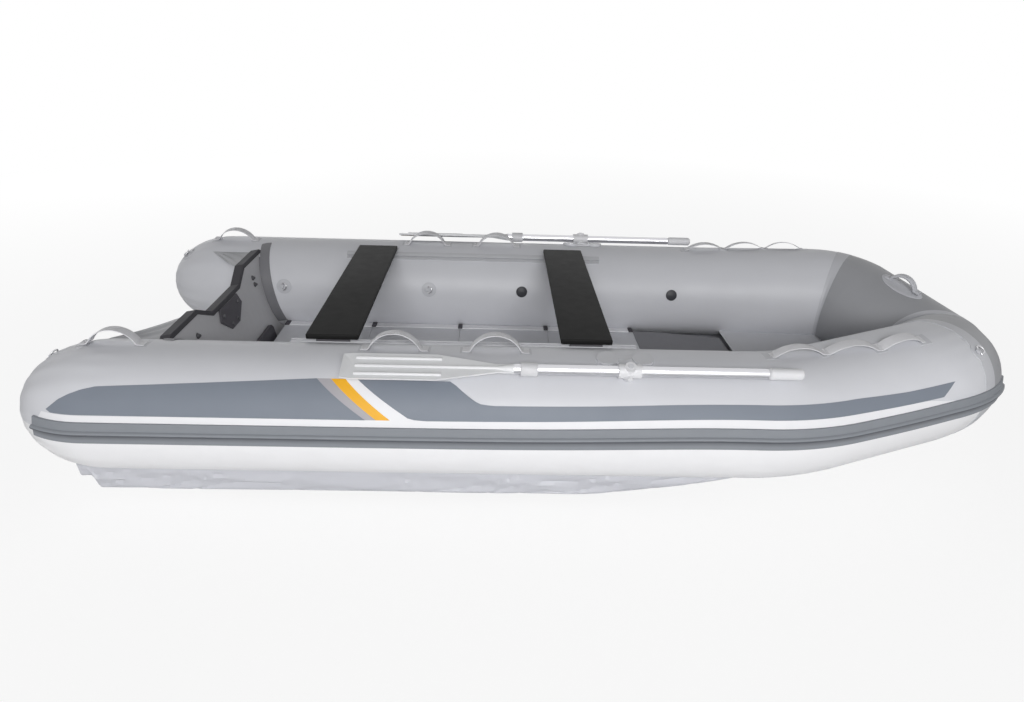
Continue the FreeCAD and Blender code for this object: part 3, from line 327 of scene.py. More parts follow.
# Handling marks: a colour darkened in faint blotches, and duller where they lie.
stain, given, ends = effect(
    "Handled_surface", {"Colour": "Color", "Depth": "Float", "Spread": "Float", "Roughness": "Float"},
    {"Colour": "Color", "Roughness": "Float"})
place = put(stain, "TexCoord").outputs["Object"]
broad = put(stain, "TexNoise", {"Vector": place, "Scale": 1.6, "Detail": 3.0})
close = put(stain, "TexNoise", {"Vector": place, "Scale": given["Spread"], "Detail": 5.0})
blotch = put(stain, "Mix", {0: 0.5, 2: broad.outputs["Fac"], 3: close.outputs["Fac"]})
shade = worked(stain, "SUBTRACT", 1.0, worked(stain, "MULTIPLY", blotch, given["Depth"]))
toned = put(stain, "VectorMath", {0: given["Colour"], "Scale": shade}, operation="SCALE")
worn = worked(stain, "MULTIPLY_ADD", blotch, 0.24, given["Roughness"])
stain.links.new(toned.outputs[0], ends["Colour"])
stain.links.new(worked(stain, "SUBTRACT", worn, 0.12).outputs[0], ends["Roughness"])

# A plain weave: the height of crossed threads, as the product of two sines.
weave, given, ends = effect("Plain_weave", {"Flat": "Vector", "Threads": "Float"}, {"Height": "Float"})
counted = put(weave, "VectorMath", {0: given["Flat"], "Scale": given["Threads"]}, operation="SCALE")
split = put(weave, "SeparateXYZ", {0: counted})
waves = [worked(weave, "SINE", split.outputs[axis]) for axis in (0, 1)]
weave.links.new(worked(weave, "MULTIPLY", *waves).outputs[0], ends["Height"])


def marked(name, colour, roughness, depth, spread, felt, **settings):
    """A material of one Principled surface with handling marks in its colour. The
    colour may be a function that builds it in the tree, as felt builds the bump.
    Settings are the surface's other inputs, with _ in place of spaces."""
    made = bpy.data.materials.new(name)
    tree = bare_tree(made)
    marks = put(tree, "Group", {
        "Colour": colour(tree) if callable(colour) else colour, "Depth": depth,
        "Spread": spread, "Roughness": roughness}, node_tree=stain)
    solid = put(tree, "BsdfPrincipled", {
        "Base Color": marks.outputs["Colour"], "Roughness": marks.outputs["Roughness"],
        "Normal": felt(tree), **{key.replace("_", " "): settings[key] for key in settings}})
    put(tree, "OutputMaterial", {"Surface": solid})
    return made


def woven(space, threads, strength, height):
    """The bump of a weave whose threads are counted in the space named."""
    def felt(tree):
        place = put(tree, "TexCoord").outputs[space]
        crossed = put(tree, "Group", {"Flat": place, "Threads": threads}, node_tree=weave)
        return put(tree, "Bump", {"Height": crossed, "Strength": strength, "Distance": height})
    return felt


def coated_cloth(name, colour, roughness=0.42, depth=0.10, space="Object"):
    """Cloth under a skin of plastic: even colour with faint handling marks, and
    the base cloth's weave just felt through the skin."""
    return marked(name, colour, roughness, depth, 9.0, woven(space, 2600, 0.10, 0.0004),
                  Specular_IOR_Level=0.4)


def fitted(piece, finish, slot_name, *nodes, body="hull"):
    """Gives a piece its material and body, and hides the nodes it replaces. The slot name is not used.
    """
    piece.data.materials.append(finish)
    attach(piece, body)
    if nodes:
        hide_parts(*nodes)
    return piece


def paler_cloth_and_light_below(above, below):
    """Colour of the tubes' cloth, paler below the strake: a paler lower cloth with
    painted light from below on it. The mask reads the flat pattern, in metres round
    the tube, and sinks along the bow with the strake, which hides its edge."""
    def tone(tree):
        along, round_tube = axes(tree, "UV")[:2]
        behind_strake = -0.345
        sunk = 1.4 * tube_radius * strake_sinks
        line = put(tree, "MapRange", {0: along, 1: shoulder_end, 2: shoulder_end + 1.4 * bow_run,
                                      3: behind_strake, 4: behind_strake - sunk})
        return blend(tree, worked(tree, "LESS_THAN", round_tube, line), above, below)
    return tone


strake_sinks = np.radians(16)
around = np.linspace(-np.pi, np.pi, 161)
# Below the strake the cloth is paler, and paler still with painted light from below.
grey_cloth = coated_cloth("Light_grey_tube_cloth", paler_cloth_and_light_below(
    paint(213, 214, 219), paint(240, 240, 242)), space="UV")
# The bow cloth is a shade darker than the side cloth, and darker still with painted shade.
bow_shaded_cloth = coated_cloth("Bow_tube_cloth_painted_shade", paler_cloth_and_light_below(
    paint(160, 161, 165), paint(198, 198, 201)), space="UV")
for side in sides:
    s = np.r_[dome_length * (1 - np.cos(np.linspace(0, np.pi / 2, 40))),
              np.arange(dome_length + 0.010, shoulder_seam, 0.010), shoulder_seam][:, None]
    grid = skin(side, s, around, pucker(s, around))
    flat = joined(s, tube_radius * around)
    tube = surface(f"{side}_side_air_tube", [shut(grid)], [ended(flat)])
    fitted(tube, grey_cloth, "tube_fabric", f"{side}_tube")

    turning = np.append(np.arange(shoulder_seam, shoulder_end, 0.010), shoulder_end)
    far = nose_reach(around)
    run_s = shoulder_end + (far - shoulder_end) * np.linspace(0.02, 1, 46)[:, None]
    s = np.vstack([turning[:, None] + 0 * around, run_s])
    grid = skin(side, s, around, pucker(s, around) * np.clip((far - s) / 0.03, 0, 1))
    flat = joined(s, tube_radius * around)
    bow = surface(f"{side}_bow_air_tube", [shut(grid)], [ended(flat)])
    fitted(bow, bow_shaded_cloth, "bow_fabric", f"{side}_bow_tube")


# The seam tapes: strips of the same cloth glued over the joints between the side
# tubes and the bow tubes, and over the mitre at the nose.
def tape(width):
    """Places across a tape from its middle, and their lift: the rims are tucked
    into the cloth, and the rest lies a cloth's thickness above it."""
    share = np.r_[-0.5, np.linspace(-0.49, 0.49, 7), 0.5]
    return width * share, np.where(np.abs(share) < 0.495, 0.0008, -0.0008)


tape_cloth = coated_cloth("Seam_tape_cloth", paint(194, 195, 200), depth=0.05, space="UV")
for side in sides:
    offset, lift = tape(0.044)
    s, lift = shoulder_seam + offset[:, None], lift[:, None]
    grid = skin(side, s, around, lift + pucker(s, around) * (lift < 0))
    flat = joined(s, tube_radius * around)
    piece = surface(f"{side}_shoulder_tape", [grid], [flat], sharp=24)
    fitted(piece, tape_cloth, "bow_fabric")
halves = []
for side in sides:
    offset, lift = tape(0.052)
    lift = lift[:len(lift) // 2 + 1, None]
    s = nose_reach(around, lift) + offset[:len(lift), None]
    half = skin(side, s, around, lift)
    half[-1, :, 1] = 0
    halves.append(half)
grid = np.vstack([halves[0], halves[1][-2::-1]])
fitted(surface("Nose_tape", [grid], [grid[..., :2]], sharp=24), tape_cloth, "bow_fabric")


# The coloured stripes: bands printed on the outer side of each tube, a dark
# panel cut by three slanting slashes, and a white line above the strake.
def edge(points):
    """Ninety evenly spaced points along a line through the given ones."""
    points = np.array(points, float)
    passed = np.append(0, np.cumsum(np.hypot(*np.diff(points, axis=0).T)))
    share = np.linspace(0, passed[-1], 90)
    return joined(*(np.interp(share, passed, points[:, axis]) for axis in (0, 1)))


line_s = np.linspace(0, 4, 4001)
line_x = tube_line(line_s)[0][:, 0]


def station(x):
    """Distance along the tube at which its middle is x from the stern."""
    return np.interp(x, line_x, line_s)


def swept(s):
    """Rise of the strake and stripes above their level run: a low swell before
    the bow and a slight dip in it, both bell curves along the tube."""
    return 0.017 * np.exp(-((s - 2.45) / 0.50) ** 2) - 0.005 * np.exp(-((s - 3.04) / 0.30) ** 2)


def spin_at(height, s, lift=0.0):
    """Turn on the outer side at which the cloth stands height above the middle
    line: the inverse cosine of height over the radius there, taken outward."""
    return -np.arccos(np.clip(height / radius_at(s, lift), -0.999, 0.999))


def outer_place(x, height):
    """Distance along the tube and turn on its outer side of the cloth's point
    that is x from the stern and height above the tube's middle. The distance is
    put right by what is still missing from x, ten times over."""
    s = station(x)
    for _ in range(10):
        s = s + 0.8 * (x - (skin("port", s, spin_at(height + swept(s), s))[..., 0] - stern_tip))
    return s, spin_at(height + swept(s), s)


def printed(name, finish, *bands, lift=0.0004):
    """Bands on both tubes between a low and a high edge, each a line through
    points (distance from the stern, height above the tube's middle). The band is
    ruled from one edge to the other, and its rim is tucked into the cloth."""
    for side in sides:
        grids = []
        share = np.linspace(0, 1, 14)[:, None, None]
        for low, high in bands:
            laid = ended(edge(low) * (1 - share) + edge(high) * share)
            laid = np.hstack([laid[:, :1], laid, laid[:, -1:]])
            rim = np.full(laid.shape[:2], lift)
            rim[[0, -1]] = rim[:, [0, -1]] = -0.0006
            s, spin = outer_place(laid[..., 0], laid[..., 1])
            grids.append(skin(side, s, spin, pucker(s, spin) + rim))
        fitted(surface(f"{side}_{name}", grids), finish, "tube_fabric")


printed("slate_panels", coated_cloth("Slate_print", paint(124, 131, 142), 0.5),
        ([(0.200, 0.075), (0.6, 0.075), (1.211, 0.075)],
         [(0.183, 0.083), (0.200, 0.096), (0.228, 0.117), (0.262, 0.134), (0.300, 0.147),
          (0.345, 0.155), (0.6, 0.165), (1.047, 0.183)]),
        ([(1.330, 0.094), (1.347, 0.083), (1.372, 0.077), (1.410, 0.075), (1.8, 0.0765), (2.4, 0.079),
          (2.85, 0.0805), (3.195, 0.0755)],
         [(1.179, 0.183), (1.488, 0.181), (1.556, 0.138), (1.580, 0.127), (1.620, 0.122),
          (2.00, 0.120), (2.40, 0.121), (2.85, 0.125), (3.05, 0.117), (3.240, 0.116)]), lift=0.0009)
printed("grey_slash", coated_cloth("Grey_print", paint(172, 169, 174), 0.5),
        ([(1.211, 0.075), (1.246, 0.075)], [(1.047, 0.183), (1.093, 0.183)]))
printed("orange_slash", coated_cloth("Orange_print", paint(240, 178, 40), 0.5),
        ([(1.246, 0.075), (1.292, 0.075)], [(1.093, 0.183), (1.140, 0.183)]))
printed("white_line", coated_cloth("White_print", paint(232, 232, 235), 0.5, depth=0.03),
        ([(1.292, 0.075), (1.420, 0.075)], [(1.140, 0.183), (1.190, 0.183)]),
        ([(0.150, 0.050), (0.6, 0.050), (3.25, 0.050)],
         [(0.164, 0.073), (0.6, 0.0745), (1.8, 0.076), (2.4, 0.0785), (2.85, 0.080), (3.13, 0.0755),
          (3.245, 0.0535)]), lift=0.0007)


# The rubbing strakes: moulded rubber bands with a half-round rib, glued along
# the tubes from the stern domes to the nose. Under the rib the grey is darkened
# with painted shade, the shadow of the rib.
def moulded(name, colour, roughness=0.5, depth=0.12, grain=900.0, bump=0.15, metallic=0.0,
            gloss=0.35, relief=None):
    """A moulded or painted solid: faint marks in its colour and a fine grain. A
    relief is a function that builds a coarser bump over that one."""
    def felt(tree):
        place = put(tree, "TexCoord").outputs["Object"]
        pits = put(tree, "TexNoise", {"Vector": place, "Scale": grain, "Detail": 2.0})
        fine = put(tree, "Bump", {"Height": pits.outputs["Fac"], "Strength": bump, "Distance": 0.0005})
        return relief(tree, fine) if relief else fine
    return marked(name, colour, roughness, depth, 24.0, felt, Metallic=metallic,
                  Specular_IOR_Level=gloss)


def both(*names):
    """The nodes of port and starboard that share these names."""
    return [f"{side}_{name}" for name in names for side in sides]


def dress(finish, *nodes, edge_width=0.0):
    """Gives CAD nodes a finish in place of their plain one. An edge width welds
    the node's faces and rounds its edges by that much."""
    for node in nodes:
        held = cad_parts[node]
        for place in held.material_slots:
            place.material = finish
        if edge_width:
            weld = held.modifiers.new("Joined_faces", "WELD")
            weld.merge_threshold = 1e-5
            rounding = held.modifiers.new("Worn_edges", "BEVEL")
            rounding.width, rounding.segments = edge_width, 2
            rounding.limit_method, rounding.angle_limit = "ANGLE", np.radians(35)
            rounding.harden_normals = True


def shaded_under_rib(tree):
    """The strake's grey with a painted shadow under the rib, darkened evenly from its lower flat up to
    the rib.
    """
    height = axes(tree, "UV")[1]
    fading = put(tree, "MapRange", {0: height, 1: -0.009, 2: 0.011})
    darkened = worked(tree, "MULTIPLY", fading, worked(tree, "LESS_THAN", height, 0.0165))
    return blend(tree, darkened, paint(137, 141, 147), paint(91, 94, 100))


strake_rubber = moulded("Strake_rubber", shaded_under_rib, 0.55)
# The profile: height above the tube's middle line, and rise from its cloth.
rib_turn = np.linspace(-np.pi / 2, np.pi / 2, 9)
height = np.r_[-0.0208, -0.0208, -0.0198, 0.0000, 0.0064, 0.016 + 0.009 * np.sin(rib_turn),
               0.0256, 0.0335, 0.0520, 0.0530, 0.0530]
rise = np.r_[-0.002, 0.0048, 0.0060, 0.0060, 0.0060, 0.0066 + 0.0082 * np.cos(rib_turn),
             0.0060, 0.0060, 0.0060, 0.0048, -0.002]
height, rise = np.append(height, height[0]), np.append(rise, rise[0])


def strake_spin(s):
    """Turn of the strake's profile on the outer side at distances s: nearly level
    along the side, then sinking evenly by 16 degrees towards the nose."""
    sunk = np.clip((s - shoulder_end) / bow_run, 0, 1.4)
    return spin_at(height + swept(s), s, rise) - strake_sinks * sunk


far = np.full(len(height), 3.7)
for _ in range(6):
    far = nose_reach(strake_spin(far), rise)
start = 0.122 + 0.14 * (height + 0.021)
for side in sides:
    share = np.linspace(0, 1, 40)[:, None] ** 1.5
    dome = start + (dome_length - start) * share
    middle = np.arange(dome_length + 0.02, shoulder_end, 0.015)[:, None] + 0 * height
    last = shoulder_end + (far - shoulder_end) * np.linspace(0, 1, 30)[:, None]
    s = np.vstack([dome, middle, last])
    grid = skin(side, s, strake_spin(s), rise)
    grid[-1, :, 1] = 0
    flat = joined(s, height)
    band = surface(f"{side}_strake_band", [shut(grid)], [ended(flat)])
    fitted(band, strake_rubber, "strake_rubber", f"{side}_rubbing_strake")


# The bottom: coated cloth hung from the tubes to a flat keel, and the keel strip
# glued under it. Ahead of the bow board its upper face is the floor.
def closed(*faces):
    """The faces side by side as one grid that comes round to its first column."""
    return np.hstack([*faces, faces[0][:, :1]])


def bottom_edge(x):
    """Breadth and height of the bottom's glued edge at x from the stern: straight
    below the tube's middle, 4.8 mm under the tube's lowest point in that slice."""
    point, heading, _, _ = tube_line(station(x))
    radius = tube_radius - 0.037 * np.clip((point[..., 0] - 3.4) / 0.23, 0, 1)
    low = radius * np.hypot(heading[..., 0], heading[..., 2]) / heading[..., 0]
    return point[..., 1], point[..., 2] - low - 0.0048


x = np.r_[np.arange(0.5205, 3.44, 0.02), np.linspace(3.45, 3.568, 8)][:, None]
breadth, glued = bottom_edge(x)
keel = 0.006 + 0.058 * np.clip((x - 2.250) / 1.320, 0, 1) ** 1.8
keel = np.minimum(keel, glued - 0.004)
half = np.minimum(0.072, breadth / 2)
across = np.r_[np.linspace(-1, -0.11, 40), np.linspace(-0.1, 0.1, 7), np.linspace(0.11, 1, 40)]
y = breadth * across
out = np.clip((np.abs(y) - half) / (breadth - half), 0, 1)
belly = 0.024 * (breadth - half) / half_spacing
z = keel + (glued - keel) * out - 4 * belly * out * (1 - out)
z = z + 0.0016 * np.sin(38 * x + 9 * np.abs(y)) * np.sin(np.pi * out) ** 2
thick = 0.0030 * np.sin(np.pi * np.clip(np.minimum(x - x[0], x[-1] - x) / 0.02, 0, 0.5))
lower, upper = (joined(x + stern_tip, y, z + rise_by) for rise_by in (0, thick))
grid = closed(lower, upper[:, ::-1])
bottom_cloth = coated_cloth("Bottom_cloth", paint(194, 195, 201), space="UV")
bottom = fitted(surface("Bottom_sheet", [grid], [grid[..., :2]]), bottom_cloth, "bottom_fabric",
                "fabric_bottom")
steps = np.diff(lower, axis=1)
area = float((np.linalg.norm(steps, axis=-1).sum(1)[:-1] * np.diff(x[:, 0])).sum())
dress(moulded("Keel_rubber", paint(70, 71, 75), 0.6), "keel_strip")


# The bilge keels: a bulge of the same cloth sewn under each side tube. Each has
# a short step at its aft end and long wrinkles where the cloth is gathered.
def bulge(x):
    """Lowest line of the bulge: the step, a gentle fall to the long level run,
    then a rise by a power of 1.6 up to the tube's bend."""
    low = 0.090 - 0.052 * eased((x - 0.186) / 0.030)
    return low + 0.088 * np.clip((x - 1.900) / 0.627, 0, 1) ** 1.6


bulge_start, bulge_end, bulge_middle = 0.158, 2.527, 0.690
bulge_radius, bulge_top = 0.027, 0.210
x = np.r_[np.arange(bulge_start, 0.30, 0.005), np.arange(0.30, bulge_end, 0.009)][:, None]
low = bulge(x)
turn = np.linspace(-np.pi / 2, np.pi / 2, 17)
drop = np.linspace(0, 1, 12)
wall = bulge_top - low - bulge_radius
across = np.r_[-bulge_radius + 0 * drop, bulge_radius * np.sin(turn), bulge_radius + 0.016 * drop]
z = np.hstack([low + bulge_radius + wall * (1 - drop), low + bulge_radius * (1 - np.cos(turn)),
               low + bulge_radius + wall * drop])
facing = np.r_[-1 + 0 * drop, np.sin(turn), 1 + 0 * drop]
# The wrinkles push the cloth in and out. They are sines over its depth and length
# that drift along it, the narrow ones drawn in as bells, and they fade at its ends.
depth = np.clip((z - low) / 0.12, 0, 1)
drift = 0.45 * np.sin(5.3 * x + 1) + 0.2 * np.sin(17 * x)
long_fold = np.sin(2 * np.pi * (1.5 * depth + x / 0.62 + 0.35 * np.sin(3.1 * x)))
crease = np.sin(np.pi * (2.6 * depth - x / 0.31 + drift))
edge_tuck = np.sin(np.pi * (5.5 * depth + x / 0.42 + 0.3 * np.sin(9 * x))) * (depth > 0.35)
fold = 0.0024 * long_fold - 0.0042 * np.exp(-(crease / 0.30) ** 2) * (1 + 0.5 * np.sin(4.1 * x))
fold = fold - 0.0026 * np.exp(-(edge_tuck / 0.35) ** 2) * np.sin(np.pi * np.clip(depth, 0, 1))
fold = fold * np.sin(np.pi * np.clip(0.15 + 0.9 * depth, 0, 1)) ** 0.6
ends = np.clip(np.minimum(x - bulge_start, bulge_end - x) / 0.03, 0, 1)
push = np.clip(1.7 * fold * ends, -0.009, 0.006)
for side in sides:
    y = sides[side] * (bulge_middle + across + push * facing)
    grid = closed(joined(x + stern_tip, y, z))
    piece = surface(f"{side}_bilge_bulge", [shut(grid)], [ended(grid[..., [0, 2]])])
    fitted(piece, bottom_cloth, "bottom_fabric", f"{side}_bilge_keel")


# The transom: a plywood board painted grey that leans aft, a dark rubber channel
# over its top edge, and moulded pads where the outboard motor's clamps grip.
board_x, board_lean = 0.496, 0.21
upright = np.array([-board_lean, 0, 1]) / np.hypot(1, board_lean)
forward = np.array([1, 0, board_lean]) / np.hypot(1, board_lean)


def on_board(y, height, out):
    """Points by y, height above the tubes' middle line and distance forward of
    the board's middle plane."""
    flat = joined(board_x + stern_tip - board_lean * height, y, axis_height + height)
    return flat + forward * out


# The board's grey is paler than its paint: painted light on its forward face.
dress(moulded("Transom_lit_paint", paint(200, 200, 203), 0.5), "transom", edge_width=0.002)
dark_rubber = moulded("Dark_rubber", paint(66, 65, 69), 0.6, gloss=0.2)
dress(dark_rubber, "transom_trim", edge_width=0.0025)
dark_plastic = moulded("Dark_plastic", paint(74, 72, 78), 0.5, grain=500.0, bump=0.3)
dress(dark_plastic, "inner_motor_pad", "outer_motor_pad", "transom_foot_rail", edge_width=0.002)
dress(moulded("Plug_plastic", paint(226, 226, 229), 0.4), "drain_plug")
bright_steel = moulded("Bright_steel", paint(205, 205, 207), 0.28, depth=0.05, bump=0.02,
                       metallic=1.0)
dress(bright_steel, "towing_eyes")


def turned(middle, along, across, radii, heights, knurl=0.0, teeth=0, count=81):
    """Radii and heights carried about an axis square to along and across. Knurl
    swells and narrows the radii by that share, teeth times a turn."""
    axis = np.cross(along, across)
    angle = np.linspace(0, 2 * np.pi, count)
    radii, heights, knurl = np.broadcast_arrays(radii, heights, knurl)
    wide = radii[:, None] * (1 + knurl[:, None] * np.cos(teeth * angle))
    grid = (wide * np.cos(angle))[..., None] * along + (wide * np.sin(angle))[..., None] * across
    return middle + grid + heights[:, None, None] * axis


# Six-sided nuts on washers hold the towing eyes, and round heads the motor pads.
bolts = []
level = (0, 1.0, 0)
nut_radii = [0, 0.0115, 0.0120, 0.0120, 0.0085, 0.0080, 0.0080, 0.0050, 0.0048, 0]
nut_rises = np.array([0, 0, 0.0004, 0.0018, 0.0018, 0.0024, 0.0080, 0.0090, 0.0130, 0.0136])
six_sided = np.where((nut_rises > 0.0018) & (nut_rises < 0.0085), 0.06, 0.0)
for y in (-0.335, 0.335):
    for height in (0.090, 0.122):
        bolts.append(turned(on_board(y, height, 0.0155), level, upright, nut_radii, nut_rises,
                            six_sided, teeth=6))
head_radii = [0, 0.0080, 0.0085, 0.0078, 0.0050, 0]
head_rises = [0, 0, 0.0012, 0.0030, 0.0042, 0.0046]
for y, height in ((-0.085, 0.100), (0.085, 0.100), (-0.03, 0.045), (0.03, 0.045)):
    bolts.append(turned(on_board(y, height, 0.0232), level, upright, head_radii, head_rises))
fitted(surface("Transom_nuts", bolts),
       moulded("Dark_steel", paint(92, 92, 95), 0.4, depth=0.05, metallic=0.7), "steel")


# The dark cloth strips that bind the transom to the tubes, and the gussets: webs
# of tube cloth from the transom's shoulders aft to the tubes' inner tops.
dress(coated_cloth("Strip_cloth", paint(122, 122, 126)), *both("flange_strip"))
web_front, web_length, web_rise, web_thickness = 0.4335, 0.190, 0.1885, 0.0024
share, inner = np.linspace(0, 1, 40)[:, None], np.linspace(0, 1, 30)
x = web_front - web_length * share
seated = half_spacing - np.sqrt(np.clip(radius_at(x) ** 2 - web_rise ** 2, 0, None)) + 0.002
free = np.minimum(0.294 + 0.230 * share, seated - 0.0005)
y = seated + (free - seated) * inner
ripple = 0.0042 * np.sin(2 * np.pi * (inner * 2.4 + 1.3 * share))
ripple = ripple * np.sin(np.pi * share) ** 0.5 * inner * (1 - inner) * 3
z = 0.5495 + ripple - 0.006 * np.sin(np.pi * share) * inner
# The gussets are tube cloth, made darker here as painted shade.
web_shaded_cloth = coated_cloth("Gusset_cloth_painted_shade", paint(182, 183, 187))
closing = np.sin(np.pi / 2 * np.clip(share * 12, 0, 1)) * np.clip((1 - share) * 12, 0, 1)
area = float(np.abs((seated - free)[:, 0]).mean() * web_length)
for side in sides:
    lower, upper = (joined(x + stern_tip, sides[side] * y, z + rise_by)
                    for rise_by in (0, web_thickness * closing))
    grid = closed(lower, upper[:, ::-1])
    web = fitted(surface(f"{side}_gusset_web", [grid], [grid[..., :2]]), web_shaded_cloth,
                 "tube_fabric", f"{side}_gusset")


# The floor: ribbed aluminium panels laid edge to edge, and channels clipped over
# their sides. Ahead is a board of dark sealed plywood.
def ribs(tree, fine):
    """Low ribs that run fore and aft: a sine across the floor, 12 mm a turn."""
    turns = worked(tree, "MULTIPLY", axes(tree, "Object")[1], 2 * np.pi / 0.012)
    return put(tree, "Bump", {"Height": worked(tree, "SINE", turns), "Strength": 0.6,
                              "Distance": 0.0008, "Normal": fine})


dress(moulded("Floor_aluminium", paint(222, 223, 227), 0.42, metallic=0.25, relief=ribs),
      *[f"floor_panel_{n}" for n in range(1, 5)], edge_width=0.0015)
dress(moulded("Channel_aluminium", paint(240, 240, 243), 0.35, metallic=0.1), *both("stringer"),
      edge_width=0.0015)
dress(moulded("Bow_board_ply", paint(142, 142, 147), 0.5), "bow_board", edge_width=0.002)


# The bow floor: ahead of the board a web of the same grey cloth is glued from tube
# to tube, level with the floor, and rises with them to a point behind the nose.
board_front, floor_below_middle, web_thickness = 2.768, 0.150, 0.0015
glued_turn = np.arccos(-floor_below_middle / tube_radius)
first = station(board_front)
for _ in range(8):
    first = first + board_front - (skin("port", first, glued_turn)[0] - stern_tip)
s = first + (nose_reach(glued_turn) - first) * np.linspace(0, 1, 61)
edges = [skin(side, s, glued_turn, -0.001) for side in sides]
across = np.linspace(0, 1, 31)[:, None]
upper = edges[0][:, None] * (1 - across) + edges[1][:, None] * across
arc = np.sin(np.pi * across[:, 0])
sag = np.sin(np.pi * np.linspace(0.15, 1, 61))[:, None]
upper[:, :, 2] += -0.010 * arc * sag
upper[:, :, 2] += 0.0012 * np.sin(70 * upper[:, :, 0] + 9 * upper[:, :, 1]) * arc
lower = upper - (0, 0, web_thickness)
grid = closed(upper, lower[:, ::-1])
bow_web = fitted(surface("Bow_floor_cloth", [shut(grid)]), coated_cloth(
    "Bow_floor_grey", paint(212, 213, 217)), "bottom_fabric")
diagonals = upper[1:, 1:] - upper[:-1, :-1], upper[:-1, 1:] - upper[1:, :-1]
area = float(np.linalg.norm(np.cross(*diagonals), axis=-1).sum() / 2)


# The floor clips: dark moulded blocks that hold the channels down, five a side,
# each with its edges rounded.
def rounded_box(middle, size, corner):
    """A box with rounded edges: an eighth of a ball sits in each corner, and the
    grid's lines run straight between them."""
    quarter = np.linspace(0, np.pi / 2, 4)
    turn = (quarter + np.pi / 2 * np.arange(4)[:, None]).ravel()
    rise = np.r_[quarter - np.pi / 2, quarter][:, None]
    signs = [np.repeat([1, -1, -1, 1], 4), np.repeat([1, 1, -1, -1], 4),
             np.repeat([-1, 1], 4)[:, None]]
    ball = [np.cos(rise) * np.cos(turn), np.cos(rise) * np.sin(turn), np.sin(rise)]
    grid = joined(*(sign * (whole / 2 - corner) + corner * part
                    for sign, whole, part in zip(signs, size, ball)))
    return shut(closed(grid)) + middle


clips = []
lows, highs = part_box("port_stringer")
for side in sides:
    for x in np.linspace(lows[0] + 0.012, highs[0] - 0.012, 5):
        where = (x, sides[side] * (lows[1] + 0.022), highs[2] + 0.0015)
        clips.append(rounded_box(where, (0.022, 0.052, 0.007), 0.002))
fitted(surface("Floor_clips", clips), dark_plastic, "dark_plastic")


# The benches: two boards of dark composite with their corners eased, which slide
# on shoes along moulded T-headed rails glued to the tubes.
bench_board = moulded("Black_bench_board", paint(25, 25, 25), 0.65, depth=0.2, grain=260.0, bump=0.25,
                      gloss=0.15)
for node in ("aft_seat", "fore_seat"):
    lows, highs = (np.array(corner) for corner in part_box(node))
    board = surface(f"{node}_board", [rounded_box((lows + highs) / 2, highs - lows, 0.0045)])
    fitted(board, bench_board, "bench_board", node, body=node.replace("seat", "bench"))
dress(dark_plastic, "aft_seat_shoes", "fore_seat_shoes", edge_width=0.0012)
dress(moulded("Rail_plastic", paint(196, 197, 201), 0.5), *both("seat_rail"), edge_width=0.001)


# The lifting straps and the bow straps: flat webbing stitched to glued feet, so
# that it stands up from the tube in arches.
def spot(side, s, spin):
    """A place on a tube's cloth: its point, and its directions along the tube,
    round it towards the cockpit, and out of it."""
    _, heading, inboard, upward = tube_line(s)
    out = upward * np.cos(spin) + inboard * np.sin(spin)
    across = inboard * np.cos(spin) - upward * np.sin(spin)
    mirror = np.array([1, sides[side], 1])
    return skin(side, s, spin), heading * mirror, across * mirror, out * mirror


def stood(place, local):
    """Points given along, across and out from a place."""
    return place[0] + local @ np.stack(place[1:])


def rounded(width, height, corner):
    """A closed outline with rounded corners: quarter turns about four middles."""
    turn = np.linspace(0, np.pi / 2, 4) + np.pi / 2 * np.arange(4)[:, None]
    signs = np.array([(1, 1), (-1, 1), (-1, -1), (1, -1)])[:, None]
    middles = signs * (np.array([width, height]) / 2 - corner)
    points = (middles + corner * joined(np.cos(turn), np.sin(turn))).reshape(-1, 2)
    return np.vstack([points, points[:1]])


def carried(path, across, up, outline, capped=True):
    """An outline carried along a path. Each row is the path's point, plus the
    outline's first size along across and its second along up."""
    path, across, up = (np.broadcast_to(value, path.shape)[:, None] for value in (path, across, up))
    outline = np.broadcast_to(outline, (len(path), *outline.shape[-2:]))
    grid = path + across * outline[..., :1] + up * outline[..., 1:]
    return shut(grid) if capped else grid


def stitched(tree):
    """Grey webbing with a pale line of stitches near each edge: dashes 5 mm apart,
    16.5 mm from the middle."""
    along, beside = axes(tree, "UV")[:2]
    off = worked(tree, "SUBTRACT", worked(tree, "ABSOLUTE", beside), 0.0165)
    on_line = worked(tree, "LESS_THAN", worked(tree, "ABSOLUTE", off), 0.0008)
    beat = worked(tree, "SINE", worked(tree, "MULTIPLY", along, 2 * np.pi / 0.005))
    stitch = worked(tree, "MULTIPLY", on_line, worked(tree, "GREATER_THAN", beat, -0.3))
    return blend(tree, stitch, paint(226, 226, 230), paint(236, 236, 238))


def arch_line(half, tall, foot, on_arc, on_foot, rounds, lift):
    """Middle line of an arch, along and out from its place: a flat foot, a
    circle's arc through the span's ends and the height, and a flat foot. The
    corners between them are smoothed by a running mean, as many rounds as given."""
    bow = (half ** 2 + tall ** 2) / (2 * tall)
    turn = np.linspace(-1, 1, on_arc) * np.arcsin(half / bow)
    along = np.r_[np.linspace(-half - foot, -half, on_foot)[:-1], bow * np.sin(turn),
                  np.linspace(half, half + foot, on_foot)[1:]]
    out = np.pad(tall + bow * (np.cos(turn) - 1), on_foot - 1)
    for _ in range(rounds):
        out[1:-1] = (out[:-2] + 2 * out[1:-1] + out[2:]) / 4
    path = joined(along, 0, out + lift)
    slope = unit(np.gradient(path, axis=0))
    return out, path, joined(-slope[:, 2], 0, slope[:, 0])


